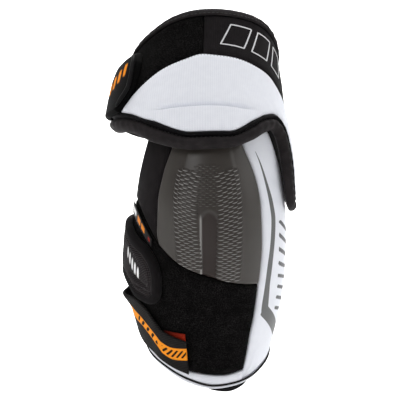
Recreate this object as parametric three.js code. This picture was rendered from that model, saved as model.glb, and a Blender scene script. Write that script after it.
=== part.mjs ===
// Hockey elbow pad for one arm, in the shape it has when it is worn on a bent elbow.
// Millimetres and degrees. The arm's axis rises along +Z and passes through the origin at the elbow.
// -Y is the front, where the hard cap is, and +X is the side of the long white panel.
// A place on the pad is an angle around the arm (0 at the front, positive towards +X), a height
// along the arm, and a depth measured outwards from the skin of the arm.

import * as THREE from "three";

// Driving dimensions.
const ARM_LEAN = 20; // how far the upper arm and the forearm each lean back from upright
const BEND_HALF = 45; // stretch of arm above and below the elbow that takes the bend
const LAYER_GAP = 0.5; // clear space between stacked layers
const SEAM_INSET = 0.45; // how far a panel stops short of each of its seams
const GUARD_SEAM_INSET = 1.3; // the same at the guard's steeply curved lower seam
const EDGE_SHARE = 0.5; // thickness left at a panel's rolled rim
const LINER = 5; // foam liner of the body
const PANEL_TOP = 14; // outside of the body's padded panels
const CAP_TOP = 13.5; // outside of the elbow cap at its rim
const CAP_CROWN = 6; // extra height of the cap's crown
const CAP_SHELL = 4; // moulded thickness of the cap at its crown
const CAP_HOLLOW = 2; // space between the cap and the liner at the crown
const SLOT_DEPTH = 1.6; // smooth slot down the middle of the cap
const GUARD_LINER = 4.5; // foam liner of the guard
const RIM_HEIGHT = 8; // rolled rim along the guard's top
const WEB = 2.1; // elastic webbing of the straps
const LABEL = 1; // sewn label
const HOOK = 1.2; // hook patch under the end of the forearm strap
const CREASE_DEPTH = 2.5; // fold line across the guard's white panel
const BODY_TOP = 60; // height at which the body's panels end, under the guard

const RADIANS = Math.PI / 180;

function table(columns, rows) {
  const names = columns.split(" ");
  return rows.map((row) => Object.fromEntries(names.map((name, i) => [name, row[i]])));
}

function lerp(from, to, share) {
  return from + (to - from) * share;
}

// A smooth step from none at one value to all at another, rising or falling.
function fade(none, all, at) {
  const t = THREE.MathUtils.clamp((at - none) / (all - none), 0, 1);
  return t * t * (3 - 2 * t);
}

// A smooth curve through the rows of a table that never swings past them, level beyond its ends.
function curve(rows, along, across) {
  const x = rows.map((row) => row[along]);
  const y = rows.map((row) => row[across]);
  const last = x.length - 1;
  const slope = (i) => (y[i + 1] - y[i]) / (x[i + 1] - x[i]);
  const tangents = x.map((_, i) => {
    if (i === 0) return slope(0);
    if (i === last) return slope(last - 1);
    const before = slope(i - 1);
    const after = slope(i);
    return before * after <= 0 ? 0 : (2 * before * after) / (before + after);
  });
  return (at) => {
    if (at <= x[0]) return y[0];
    if (at >= x[last]) return y[last];
    const i = x.findIndex((value) => value >= at) - 1;
    const step = x[i + 1] - x[i];
    const t = (at - x[i]) / step;
    const rise = t * t * (3 - 2 * t);
    const leaving = tangents[i] * step * t * (1 - t) * (1 - t);
    const arriving = tangents[i + 1] * step * t * t * (t - 1);
    return lerp(y[i], y[i + 1], rise) + leaving + arriving;
  };
}

// Half-widths of the space for the arm, at heights along it.
const FORM_COLUMNS = "s left right front back";
const BODY_FORM = table(FORM_COLUMNS, [
  [-150, 31, 32, 33, 32],
  [-125, 37, 36, 37, 36],
  [-100, 44, 41.6, 41, 40],
  [-75, 49.5, 46, 44.5, 44],
  [-50, 51, 48.2, 47, 46],
  [-25, 49.5, 48.8, 49.5, 47],
  [0, 47, 47.8, 50.5, 47],
  [25, 46.5, 46.5, 49.5, 47],
  [50, 46, 46, 47, 46],
  [75, 45, 45, 44, 45],
  [100, 44, 44, 43, 44],
]);
const GUARD_FORM = table(FORM_COLUMNS, [
  [-25, 72, 63, 71, 56],
  [0, 72, 62.3, 71, 56],
  [25, 72, 61, 70.5, 56],
  [50, 73, 57.5, 67.5, 55],
  [75, 69.5, 52.5, 62, 53],
  [100, 61.5, 48.5, 55.5, 50],
  [125, 53, 45.6, 49, 46],
  [150, 46.5, 43.8, 44, 44],
]);

function formOf(rows) {
  const sides = ["left", "right", "front", "back"];
  return Object.fromEntries(sides.map((side) => [side, curve(rows, "s", side)]));
}

const body = formOf(BODY_FORM);
const guard = formOf(GUARD_FORM);

// The arm's axis bends through an arc at the elbow and runs straight above and below it.
function armAxis(s) {
  const bent = THREE.MathUtils.clamp(s, -BEND_HALF, BEND_HALF);
  const radius = BEND_HALF / (ARM_LEAN * RADIANS);
  const tilt = bent / radius;
  const straight = s - bent;
  return {
    tilt,
    y: radius * (1 - Math.cos(tilt)) + straight * Math.sin(tilt),
    z: radius * Math.sin(tilt) + straight * Math.cos(tilt),
  };
}

function onForm(form, phi, s, depth) {
  const { tilt, y, z } = armAxis(s);
  const sine = Math.sin(phi * RADIANS);
  const cosine = Math.cos(phi * RADIANS);
  const wide = sine >= 0 ? form.right(s) : form.left(s);
  const deep = cosine >= 0 ? form.front(s) : form.back(s);
  const steepness = Math.hypot(sine / wide, cosine / deep);
  const x = wide * sine + (depth * sine) / (wide * steepness);
  const back = -deep * cosine - (depth * cosine) / (deep * steepness);
  return new THREE.Vector3(x, y + back * Math.cos(tilt), z - back * Math.sin(tilt));
}

// Seams of the body. A side seam gives an angle at each height, a level seam a height at each angle.
const SEAM_COLUMNS = "phi s";
const CAP_LEFT = table(SEAM_COLUMNS, [
  [-41.5, -23],
  [-44, -15],
  [-44, 0],
  [-39, 17],
  [-31, 32],
  [-24, 46],
  [-14, 60],
]);
const WHITE_SEAM = table(SEAM_COLUMNS, [
  [33, -136],
  [34.5, -124],
  [35.5, -111],
  [36, -93],
  [38, -71],
  [39.5, -48],
  [41, -36],
  [42, -23],
  [41, 0],
  [38, 12],
  [33, 22],
  [26.5, 31.5],
  [20, 44],
  [12, 60],
]);
const LOOP_TOP = table(SEAM_COLUMNS, [
  [-90, 6],
  [-75, 0],
  [-59, -10],
  [-41.5, -23],
  [-23, -33],
  [4, -40.5],
  [39.5, -48],
]);
const LOOP_LOW = table(SEAM_COLUMNS, [
  [-118, -109],
  [-90, -114],
  [-60, -117.5],
  [-30, -122.5],
  [0, -126],
  [14, -127],
  [34, -125],
]);
const LOOP_LEFT = table(SEAM_COLUMNS, [
  [-118, -109],
  [-124, -90],
  [-124, -50],
  [-114, -15],
  [-90, 6],
]);
const SIDE_LEFT = table(SEAM_COLUMNS, [
  [-90, 5],
  [-77, 20],
  [-65, 35],
  [-55, 48],
  [-45, 58],
]);
const WHITE_RIGHT = table(SEAM_COLUMNS, [
  [112, -118],
  [122, -95],
  [122, -50],
  [112, -15],
  [90, -2],
  [76, 20],
  [63, 35],
  [53, 46],
  [40, 58],
]);
// The white wrist end: its thin piping, the hem below it, and the liner that shows under the hem.
const WRIST = table("phi piping hem liner", [
  [-126, -107, -109, -105],
  [-118, -112, -116, -117.5],
  [-105, -114, -118.5, -120.5],
  [-90, -116.5, -121.5, -124],
  [-50, -123, -127.5, -130],
  [-20, -131, -136, -138],
  [5, -135.5, -139.5, -145.5],
  [29, -134.5, -138.5, -148.5],
  [45, -132.5, -136, -147],
  [60, -129, -132.8, -142.5],
  [90, -124, -128.5, -133],
  [112, -120, -124.5, -127],
  [120, -118, -121, -121.5],
  [126, -112, -114, -108],
]);
const LINER_TOP = table(SEAM_COLUMNS, [
  [-126, -40],
  [-118, -17],
  [-105, -5],
  [-90, 9],
  [-77, 22.5],
  [-65, 37.5],
  [-55, 50.5],
  [-40, 62],
  [-20, 70],
  [0, 72],
  [20, 70],
  [40, 62],
  [55, 48.5],
  [65, 36],
  [77, 21],
  [90, 0],
  [105, -10],
  [118, -22],
  [126, -42],
]);

const capLeft = curve(CAP_LEFT, "s", "phi");
const whiteSeam = curve(WHITE_SEAM, "s", "phi");
const loopTop = curve(LOOP_TOP, "phi", "s");
const loopLow = curve(LOOP_LOW, "phi", "s");
const loopLeft = curve(LOOP_LEFT, "s", "phi");
const sideLeft = curve(SIDE_LEFT, "s", "phi");
const whiteRight = curve(WHITE_RIGHT, "s", "phi");
const piping = curve(WRIST, "phi", "piping");
const hemEdge = curve(WRIST, "phi", "hem");
const linerLow = curve(WRIST, "phi", "liner");
const linerTop = curve(LINER_TOP, "phi", "s");

// Seams of the guard, and the binding that goes round its lower edge and up its two ends.
const TOP_EDGE = table(SEAM_COLUMNS, [
  [-121, 119],
  [-90, 124],
  [-70, 131],
  [-50, 137],
  [-30, 144],
  [-10, 147],
  [10, 147.5],
  [35, 147.5],
  [50, 146.8],
  [62, 144.8],
  [75, 141],
  [90, 135],
  [121, 124],
]);
const BAND_SEAM = table(SEAM_COLUMNS, [
  [-65.5, 63],
  [-60, 68],
  [-54.6, 73],
  [-43, 83],
  [-31, 92],
  [-17, 98],
  [-5, 102],
  [4, 101],
  [19.5, 100],
  [37, 97],
  [50, 94],
  [62.5, 87.5],
  [71, 83],
  [90, 74],
  [113.5, 68],
]);
const GUARD_EDGE = table("edgePhi edgeS seamPhi seamS", [
  [-121, 110.2, -113, 110.8],
  [-122, 92, -113, 95],
  [-118, 76, -111, 87],
  [-105, 66.5, -103, 80],
  [-90, 62, -90, 77],
  [-70, 51, -70, 68],
  [-51, 42, -52, 58],
  [-33, 32.5, -34, 45],
  [-10, 27.5, -10, 36],
  [12, 28.5, 12, 36.5],
  [30, 34, 29, 44],
  [43, 41, 42, 53.5],
  [52, 44.5, 53, 58],
  [59, 41, 63, 54.5],
  [63, 32, 70, 44],
  [66, 18, 74.5, 30],
  [70, 6, 77.5, 17],
  [77, -2, 82, 8],
  [88, -5, 89, 6],
  [100, -1, 98, 10],
  [111, 10, 104, 20],
  [119, 30, 111, 36],
  [122, 60, 113.5, 62],
  [121, 115.2, 113.5, 116.4],
]);
const GUARD_THICKNESS = table("s thickness", [
  [0, 7.3],
  [25, 8.5],
  [50, 9.5],
  [75, 10.5],
  [100, 12],
]);

const topEdge = curve(TOP_EDGE, "phi", "s");
const topSeam = (phi) => topEdge(phi) - RIM_HEIGHT;
const bandSeam = curve(BAND_SEAM, "phi", "s");
const guardSeam = curve(GUARD_EDGE.slice(1, -1), "seamPhi", "seamS");
const guardThickness = curve(GUARD_THICKNESS, "s", "thickness");
const LOOP_KNIT_SEAM = -5; // upright seam between the two black fabrics of the guard
const GUARD_LEFT = -113;
const GUARD_RIGHT = 113.5;
const WHITE_TIP = -63; // left point of the guard's white panel

// Where a share across and along a cell lies. Its sides give angles, its two ends give heights.
const CELL_ROUNDS = 16;
const MEAN_RADIUS = 60;

function inCell(cell, u, v) {
  const endInset = cell.inset ?? SEAM_INSET;
  const sideInset = SEAM_INSET / (MEAN_RADIUS * RADIANS);
  let phi = (cell.left(0) + cell.right(0)) / 2;
  let s = 0;
  for (let round = 0; round < CELL_ROUNDS; round++) {
    s = lerp(cell.low(phi) + endInset, cell.high(phi) - endInset, v);
    phi = lerp(cell.left(s) + sideInset, cell.right(s) - sideInset, u);
  }
  return { phi, s };
}

const always = (value) => () => value;

function evenly(from, to, steps) {
  return Array.from({ length: steps + 1 }, (_, i) => lerp(from, to, i / steps));
}

// Grid lines of a panel: evenly spaced, with one more close to each end for the rolled rim.
function rimmedLines(count, rim) {
  return [0, ...evenly(rim, 1 - rim, count - 2), 1];
}

// A closed solid between two grids of points, the inner one and the outer one.
function closedGrid(inner, outer) {
  const along = outer.length;
  const across = outer[0].length;
  const points = [...inner.flat(), ...outer.flat()];
  const at = (face, i, j) => face * across * along + j * across + i;
  const faces = [];
  for (let j = 0; j + 1 < along; j++) {
    for (let i = 0; i + 1 < across; i++) {
      const near = (face) => [at(face, i, j), at(face, i + 1, j)];
      const next = (face) => [at(face, i + 1, j + 1), at(face, i, j + 1)];
      const [a, b, c, d] = [...near(1), ...next(1)];
      const [e, f, g, h] = [...near(0), ...next(0)];
      faces.push(a, b, c, a, c, d, e, g, f, e, h, g);
    }
  }
  const rim = [];
  for (let i = 0; i + 1 < across; i++) rim.push([i, 0]);
  for (let j = 0; j + 1 < along; j++) rim.push([across - 1, j]);
  for (let i = across - 1; i > 0; i--) rim.push([i, along - 1]);
  for (let j = along - 1; j > 0; j--) rim.push([0, j]);
  rim.forEach((from, n) => {
    const to = rim[(n + 1) % rim.length];
    faces.push(at(1, ...to), at(1, ...from), at(0, ...from));
    faces.push(at(1, ...to), at(0, ...from), at(0, ...to));
  });
  return solid(points, faces);
}

function solid(points, faces) {
  const geometry = new THREE.BufferGeometry().setFromPoints(points);
  geometry.setIndex(faces);
  geometry.computeVertexNormals();
  return geometry;
}

// A padded wall over a cell, from an inner to an outer depth, thinner along its rim.
function wall(form, cell, us, vs, inner, outer) {
  const onRim = (share) => share === 0 || share === 1;
  const face = (share) =>
    vs.map((v) =>
      us.map((u) => {
        const { phi, s } = inCell(cell, u, v);
        const low = inner(phi, s);
        const full = outer(phi, s, u, v) - low;
        const kept = onRim(u) || onRim(v) ? EDGE_SHARE : 1;
        return onForm(form, phi, s, low + share * full * kept);
      }),
    );
  return closedGrid(face(0), face(1));
}

// A strip that wraps an edge: one section, seam to edge and inside to outside, carried along its rows.
function binding(form, rows, section, steps, thickness) {
  const numbered = rows.map((row, step) => ({ step, ...row }));
  const along = (name) => curve(numbered, "step", name);
  const [edgePhi, edgeS, seamPhi, seamS] = ["edgePhi", "edgeS", "seamPhi", "seamS"].map(along);
  const rings = [];
  for (let n = 0; n <= steps; n++) {
    const step = (n / steps) * (rows.length - 1);
    const ring = section.map(({ across, depth }) => {
      const phi = lerp(seamPhi(step), edgePhi(step), across);
      const s = lerp(seamS(step), edgeS(step), across);
      return onForm(form, phi, s, depth * thickness(s));
    });
    rings.push(ring);
  }
  const sides = section.length;
  const far = steps * sides;
  const faces = [];
  for (let k = 1; k + 1 < sides; k++) {
    faces.push(0, k + 1, k, far, far + k, far + k + 1);
  }
  for (let n = 0; n < steps; n++) {
    for (let k = 0; k < sides; k++) {
      const near = n * sides + k;
      const next = n * sides + ((k + 1) % sides);
      faces.push(near, next, next + sides, near, next + sides, near + sides);
    }
  }
  return solid(rings.flat(), faces);
}

// Body.
const LINER_HALF_ANGLE = 126; // the liner's two edges, either side of the open back
const WRIST_LEFT = -118;
const WRIST_RIGHT = 112;
const STRIP_ROWS = [0, 0.5, 1];
const capCell = { left: capLeft, right: whiteSeam, low: loopTop, high: always(BODY_TOP) };

// How far up the cap's crown a place is: none at its seams, all of it in the middle.
function capRise(phi, s) {
  const u = (phi - capLeft(s)) / (whiteSeam(s) - capLeft(s));
  const v = (s - loopTop(phi)) / (BODY_TOP - loopTop(phi));
  const inside = u > 0 && u < 1 && v > 0 && v < 1;
  return inside ? (Math.sin(Math.PI * u) * Math.sin(Math.PI * v)) ** 2 : 0;
}

function linerTopDepth(phi, s) {
  return LINER + (CAP_TOP + CAP_CROWN - CAP_SHELL - CAP_HOLLOW - LINER) * capRise(phi, s);
}

function panelFloor(phi, s) {
  return linerTopDepth(phi, s) + lerp(LAYER_GAP, CAP_HOLLOW, Math.sqrt(capRise(phi, s)));
}

function bodyLiner() {
  const [left, right] = [always(-LINER_HALF_ANGLE), always(LINER_HALF_ANGLE)];
  const cell = { left, right, low: linerLow, high: linerTop };
  return wall(body, cell, rimmedLines(32, 0.016), rimmedLines(15, 0.015), always(0), linerTopDepth);
}

// The moulded cap: a crowned shell with a smooth slot that is sunk into its lower middle.
const SLOT = { left: 0.43, right: 0.565, top: 0.36, rim: 0.035 };

function elbowCap() {
  const crown = (phi, s, u, v) => {
    const dome = Math.sin(Math.PI * u) * Math.sin(Math.PI * v);
    const beside = fade(SLOT.left - SLOT.rim, SLOT.left, u) * fade(SLOT.right + SLOT.rim, SLOT.right, u);
    const below = fade(SLOT.top + SLOT.rim, SLOT.top - SLOT.rim, v);
    return CAP_TOP + CAP_CROWN * dome - SLOT_DEPTH * beside * below;
  };
  const { left, right, top, rim } = SLOT;
  const across = [0, 0.07, 0.17, 0.28, left - rim, left, 0.5, right, right + rim, 0.72, 0.83, 0.93, 1];
  const along = [0, 0.06, 0.15, 0.25, top - rim, top + rim, 0.49, 0.59, 0.69, 0.78, 0.86, 0.94, 1];
  return wall(body, capCell, across, along, panelFloor, crown);
}

// Rows of the long panels lie closer together where their edges turn.
const SIDE_PANEL_ROWS = [0, 0.06, 0.2, 0.36, 0.52, 0.66, 0.78, 0.88, 0.95, 1];
const LOOP_PANEL_ROWS = [0, 0.04, 0.15, 0.28, 0.41, 0.53, 0.64, 0.74, 0.83, 0.91, 0.965, 1];
const WHITE_PANEL_ROWS = [0, 0.02, ...evenly(0.1, 0.5, 4), 0.58, 0.65, ...evenly(0.71, 0.96, 5), 1];

function sidePanel() {
  const cell = { left: sideLeft, right: capLeft, low: loopTop, high: always(BODY_TOP) };
  return wall(body, cell, rimmedLines(8, 0.08), SIDE_PANEL_ROWS, panelFloor, always(PANEL_TOP));
}

function loopPanel() {
  const cell = { left: loopLeft, right: whiteSeam, low: loopLow, high: loopTop };
  return wall(body, cell, rimmedLines(20, 0.025), LOOP_PANEL_ROWS, panelFloor, always(PANEL_TOP));
}

function whitePanel() {
  const cell = { left: whiteSeam, right: whiteRight, low: piping, high: always(BODY_TOP - 2) };
  return wall(body, cell, rimmedLines(11, 0.05), WHITE_PANEL_ROWS, panelFloor, always(PANEL_TOP));
}

function wristPanel() {
  const cell = { left: always(WRIST_LEFT), right: whiteSeam, low: piping, high: loopLow };
  return wall(body, cell, rimmedLines(18, 0.02), STRIP_ROWS, panelFloor, always(PANEL_TOP));
}

function hemBand() {
  const cell = { left: always(WRIST_LEFT), right: always(WRIST_RIGHT), low: hemEdge, high: piping };
  return wall(body, cell, rimmedLines(28, 0.02), STRIP_ROWS, panelFloor, always(PANEL_TOP));
}

// Label sewn along the seam over the loop panel.
const CAP_LABEL = { from: -88, to: -46, near: 9.5, far: 5 };

function capLabel() {
  const { from, to, near, far } = CAP_LABEL;
  const drop = (phi) => lerp(near, far, (phi - from) / (to - from));
  const cell = {
    left: always(from),
    right: always(to),
    low: (phi) => loopTop(phi) - drop(phi),
    high: loopTop,
  };
  const floor = PANEL_TOP + LAYER_GAP;
  return wall(body, cell, rimmedLines(7, 0.04), STRIP_ROWS, always(floor), always(floor + LABEL));
}

// Straps pass behind the arm, from the right edge of the pad to the left, so their angles go past 180.
const BACK_DIP = { start: 129, end: 178, depth: 1 };

// How far a strap has sunk from the pad's outside towards the bare back of the arm.
function backDip(phi) {
  const { start, end } = BACK_DIP;
  const fromBack = 180 - Math.abs(180 - phi);
  return fade(start, end, fromBack);
}

// The cell of a strap: its table gives the middle line and the half-width, from end to end.
function strapCell(strap) {
  const middle = curve(strap, "phi", "s");
  const half = curve(strap, "phi", "half");
  return {
    left: always(strap[0].phi),
    right: always(strap.at(-1).phi),
    low: (phi) => middle(phi) - half(phi),
    high: (phi) => middle(phi) + half(phi),
  };
}

function strapWall(form, strap, seat, steps) {
  const inner = (phi, s) => lerp(seat(phi, s), BACK_DIP.depth, backDip(phi));
  const outer = (phi, s) => inner(phi, s) + WEB;
  return wall(form, strapCell(strap), rimmedLines(steps, 0.01), [0, 0.25, 0.75, 1], inner, outer);
}

const STRAP_COLUMNS = "phi s half";
const ELBOW_STRAP = table(STRAP_COLUMNS, [
  [110, -43, 19],
  [180, -38, 19],
  [236, -32, 20],
  [256, -30.5, 21],
]);
const ELBOW_STRAP_PAD = table(STRAP_COLUMNS, [
  [-104, -30.5, 22.5],
  [-90, -33.2, 23.2],
  [-79, -35.5, 21],
  [-70, -38.8, 20.9],
  [-61, -43, 22],
  [-50, -45.2, 21],
  [-43.5, -47, 18.5],
  [-38.5, -47.5, 13],
  [-36, -47.5, 6],
]);
const FOREARM_STRAP = table(STRAP_COLUMNS, [
  [110, -86, 17],
  [180, -83, 17],
  [236, -85, 17],
  [268, -88.5, 16.8],
  [300, -90.7, 21.2],
  [309, -93.8, 20.5],
  [317, -98.2, 18.5],
  [323, -103, 15.8],
  [342, -108.5, 15.6],
]);
const GUARD_STRAP = table(STRAP_COLUMNS, [
  [104, 95, 20],
  [180, 95, 20],
  [262, 95, 20],
]);
const ELBOW_PAD_TOP = 20.3; // outside of the padded end of the elbow strap
const HOOK_RISE = { start: 306, end: 318 }; // where the forearm strap climbs onto its hook patch
const STRAP_CURL = { angle: 274, half: 9, reach: 14, rise: 5.5 }; // where its upper edge stands off
const HOOK_PATCH = { from: -37, to: -19, low: -104, high: -87 };
const GUARD_TAB = { from: -98, high: 114, liftFrom: 78, liftTo: 71 };
const TAB_THICKNESS = table("s thickness", [
  [66, 6],
  [76, 5.8],
  [87, 6.6],
  [100, 7.8],
  [108, 8],
  [114, 5.5],
]);
const TAB_LOW = table(SEAM_COLUMNS, [
  [-98, 75],
  [-86, 71],
  [-74, 66],
  [-62, 63.5],
]);
const TAB_END = table(SEAM_COLUMNS, [
  [-62, 63],
  [-54, 72],
  [-49, 81],
  [-48.5, 90],
  [-49, 102],
  [-53, 114],
]);

function elbowStrap() {
  return strapWall(body, ELBOW_STRAP, always(PANEL_TOP + LAYER_GAP), 18);
}

function elbowStrapPad() {
  const cell = strapCell(ELBOW_STRAP_PAD);
  const floor = PANEL_TOP + LAYER_GAP;
  return wall(body, cell, rimmedLines(11, 0.04), rimmedLines(5, 0.1), always(floor), always(ELBOW_PAD_TOP));
}

function forearmStrap() {
  const overHook = (phi) => fade(HOOK_RISE.start, HOOK_RISE.end, phi) * (HOOK + LAYER_GAP);
  const middle = curve(FOREARM_STRAP, "phi", "s");
  const half = curve(FOREARM_STRAP, "phi", "half");
  const curl = (phi, s) => {
    const { angle, reach, rise } = STRAP_CURL;
    const upper = middle(phi) + half(phi);
    const beside = Math.exp(-(((phi - angle) / STRAP_CURL.half) ** 2));
    return rise * beside * fade(upper - reach, upper, s);
  };
  const seat = (phi, s) => PANEL_TOP + LAYER_GAP + overHook(phi) + curl(phi, s);
  return strapWall(body, FOREARM_STRAP, seat, 28);
}

function forearmStrapHook() {
  const { from, to, low, high } = HOOK_PATCH;
  const cell = { left: always(from), right: always(to), low: always(low), high: always(high) };
  const floor = PANEL_TOP + LAYER_GAP;
  return wall(body, cell, rimmedLines(4, 0.1), STRIP_ROWS, always(floor), always(floor + HOOK));
}

// Guard.
function guardLiner() {
  const cell = {
    left: always(GUARD_LEFT),
    right: always(GUARD_RIGHT),
    low: guardSeam,
    high: topSeam,
    inset: GUARD_SEAM_INSET,
  };
  return wall(guard, cell, rimmedLines(36, 0.016), rimmedLines(7, 0.05), always(0), always(GUARD_LINER));
}

const guardFloor = always(GUARD_LINER + LAYER_GAP);

// The fold across the white panel, in shares of its width and height.
const CREASE = { line: 0.25, half: 0.07, left: 0.15, right: 0.57, fade: 0.1 };

function guardWhitePanel() {
  const cell = {
    left: always(WHITE_TIP),
    right: always(GUARD_RIGHT),
    low: guardSeam,
    high: bandSeam,
    inset: GUARD_SEAM_INSET,
  };
  const outer = (phi, s, u, v) => {
    const { line, left, right } = CREASE;
    const across = fade(left, left + CREASE.fade, u) * fade(right, right - CREASE.fade, u);
    const dip = v === line ? CREASE_DEPTH * across : 0;
    return guardThickness(s) - dip;
  };
  const across = [0, 0.03, ...evenly(0.08, 0.58, 10), ...evenly(0.62, 0.86, 8), 0.9, 0.94, 0.98, 1];
  const { line, half } = CREASE;
  const along = [0, 0.08, line - half, line, line + half, 0.44, 0.57, 0.71, 0.9, 1];
  return wall(guard, cell, across, along, guardFloor, outer);
}

function guardTopPanel(from, to, columns) {
  const cell = {
    left: always(from),
    right: always(to),
    low: (phi) => Math.max(guardSeam(phi), bandSeam(phi)),
    high: topSeam,
    inset: GUARD_SEAM_INSET,
  };
  const outer = (phi, s) => guardThickness(s);
  return wall(guard, cell, rimmedLines(columns, 0.04), rimmedLines(6, 0.1), guardFloor, outer);
}

const SECTION_COLUMNS = "across depth";
const RIM_SECTION = table(SECTION_COLUMNS, [
  [0, 0.04],
  [0, 0.92],
  [0.3, 1.03],
  [0.75, 0.95],
  [1, 0.65],
  [1, 0.35],
  [0.75, 0.05],
  [0.3, -0.03],
]);
const EDGE_SECTION = table(SECTION_COLUMNS, [
  [0, 0.04],
  [0, 0.9],
  [0.14, 1.03],
  [0.3, 0.9],
  [0.55, 1.03],
  [0.85, 0.9],
  [1, 0.6],
  [0.95, 0.2],
  [0.6, -0.03],
]);
const RIM_STEPS = 30;
const EDGE_STEPS = 52;

function guardTopBinding() {
  const across = ({ phi, s }) => ({ edgePhi: phi, edgeS: s, seamPhi: phi, seamS: s - RIM_HEIGHT });
  const rows = TOP_EDGE.map(across);
  return binding(guard, rows.reverse(), RIM_SECTION, RIM_STEPS, guardThickness);
}

function guardEdgeBinding() {
  return binding(guard, GUARD_EDGE, EDGE_SECTION, EDGE_STEPS, guardThickness);
}

const STRAP_LIFT = 0.9; // clears the rolled binding that the guard's strap crosses

function guardStrap() {
  const seat = (phi, s) => guardThickness(s) + STRAP_LIFT;
  return strapWall(guard, GUARD_STRAP, seat, 20);
}

function guardStrapTab() {
  const { from, high, liftFrom, liftTo } = GUARD_TAB;
  const thickness = curve(TAB_THICKNESS, "s", "thickness");
  const cell = {
    left: always(from),
    right: curve(TAB_END, "s", "phi"),
    low: curve(TAB_LOW, "phi", "s"),
    high: always(high),
  };
  const inner = (phi, s) => guardThickness(s) + LAYER_GAP + STRAP_LIFT * fade(liftFrom, liftTo, s);
  const outer = (phi, s) => guardThickness(s) + LAYER_GAP + thickness(s);
  return wall(guard, cell, rimmedLines(7, 0.08), rimmedLines(7, 0.07), inner, outer);
}

// Plain elastic sheet that carries the guard on the body, out of sight inside it.
const GUSSET_HALF_ANGLE = 28;
const GUSSET_COLUMNS = 10;

function joiningGusset() {
  const onLiner = LINER + LAYER_GAP;
  const underGuard = -LAYER_GAP - WEB;
  const rows = [
    { form: body, s: BODY_TOP + 1.5, depth: onLiner },
    { form: body, s: BODY_TOP + 8, depth: onLiner },
    { form: guard, s: 84, depth: underGuard },
    { form: guard, s: 98, depth: underGuard },
  ];
  const face = (extra) =>
    rows.map(({ form, s, depth }) =>
      Array.from({ length: GUSSET_COLUMNS + 1 }, (_, i) => {
        const phi = lerp(-GUSSET_HALF_ANGLE, GUSSET_HALF_ANGLE, i / GUSSET_COLUMNS);
        return onForm(form, phi, s, depth + extra);
      }),
    );
  return closedGrid(face(0), face(WEB));
}

// Finishes.
const finish = (color, roughness) => new THREE.MeshStandardMaterial({ color, roughness, metalness: 0 });
const FOAM_CLOTH = finish("#161617", 0.9);
const LOOP_CLOTH = finish("#0d0d0e", 0.95);
const KNIT_CLOTH = finish("#1c1c1e", 0.85);
const WHITE_KNIT = finish("#eeeef0", 0.8);
const WHITE_LEATHER = finish("#f3f3f5", 0.45);
const CAP_PLASTIC = finish("#4a4845", 0.35);
const BINDING_CLOTH = finish("#111112", 0.75);
const WEBBING = finish("#151516", 0.8);
const STRAP_RUBBER = finish("#1a1a1b", 0.55);
const HOOK_TAPE = finish("#96280a", 0.7);

function piece(name, geometry, material) {
  const mesh = new THREE.Mesh(geometry, material);
  mesh.name = name;
  return mesh;
}

const bodyGroup = new THREE.Group();
bodyGroup.add(
  piece("body_liner", bodyLiner(), FOAM_CLOTH),
  piece("elbow_cap", elbowCap(), CAP_PLASTIC),
  piece("side_panel", sidePanel(), KNIT_CLOTH),
  piece("loop_panel", loopPanel(), LOOP_CLOTH),
  piece("white_panel", whitePanel(), WHITE_LEATHER),
  piece("wrist_panel", wristPanel(), WHITE_LEATHER),
  piece("hem_band", hemBand(), WHITE_LEATHER),
  piece("cap_label", capLabel(), KNIT_CLOTH),
  piece("elbow_strap", elbowStrap(), WEBBING),
  piece("elbow_strap_pad", elbowStrapPad(), STRAP_RUBBER),
  piece("forearm_strap", forearmStrap(), WEBBING),
  piece("forearm_strap_hook", forearmStrapHook(), HOOK_TAPE),
);

const guardGroup = new THREE.Group();
guardGroup.add(
  piece("guard_liner", guardLiner(), FOAM_CLOTH),
  piece("guard_white_panel", guardWhitePanel(), WHITE_KNIT),
  piece("guard_loop_panel", guardTopPanel(GUARD_LEFT, LOOP_KNIT_SEAM, 15), LOOP_CLOTH),
  piece("guard_knit_panel", guardTopPanel(LOOP_KNIT_SEAM, GUARD_RIGHT, 16), KNIT_CLOTH),
  piece("guard_top_binding", guardTopBinding(), BINDING_CLOTH),
  piece("guard_edge_binding", guardEdgeBinding(), BINDING_CLOTH),
  piece("guard_strap", guardStrap(), WEBBING),
  piece("guard_strap_tab", guardStrapTab(), STRAP_RUBBER),
);

const pad = new THREE.Group();
pad.add(bodyGroup, guardGroup, piece("joining_gusset", joiningGusset(), WEBBING));

export default pad;
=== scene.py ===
import math

import bpy
import numpy as np
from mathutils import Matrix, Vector
from mathutils.kdtree import KDTree


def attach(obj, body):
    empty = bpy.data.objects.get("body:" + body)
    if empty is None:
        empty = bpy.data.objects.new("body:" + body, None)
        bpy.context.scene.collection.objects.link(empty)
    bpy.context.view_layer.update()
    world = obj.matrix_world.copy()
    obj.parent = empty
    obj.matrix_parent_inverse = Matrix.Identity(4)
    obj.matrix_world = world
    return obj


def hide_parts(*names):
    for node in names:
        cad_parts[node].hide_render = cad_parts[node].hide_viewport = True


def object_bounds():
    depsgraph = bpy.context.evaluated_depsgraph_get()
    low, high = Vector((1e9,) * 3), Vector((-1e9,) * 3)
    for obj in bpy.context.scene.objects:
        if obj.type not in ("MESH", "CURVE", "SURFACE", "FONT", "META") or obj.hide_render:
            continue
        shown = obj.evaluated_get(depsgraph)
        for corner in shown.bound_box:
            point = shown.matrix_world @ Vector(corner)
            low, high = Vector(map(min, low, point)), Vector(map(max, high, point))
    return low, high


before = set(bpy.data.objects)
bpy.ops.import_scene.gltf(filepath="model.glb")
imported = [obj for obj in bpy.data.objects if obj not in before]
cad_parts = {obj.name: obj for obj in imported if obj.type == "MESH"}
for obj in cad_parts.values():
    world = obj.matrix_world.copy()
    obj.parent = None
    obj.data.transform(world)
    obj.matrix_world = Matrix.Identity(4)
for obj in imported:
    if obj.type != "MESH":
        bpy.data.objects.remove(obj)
cad_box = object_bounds()


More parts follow.
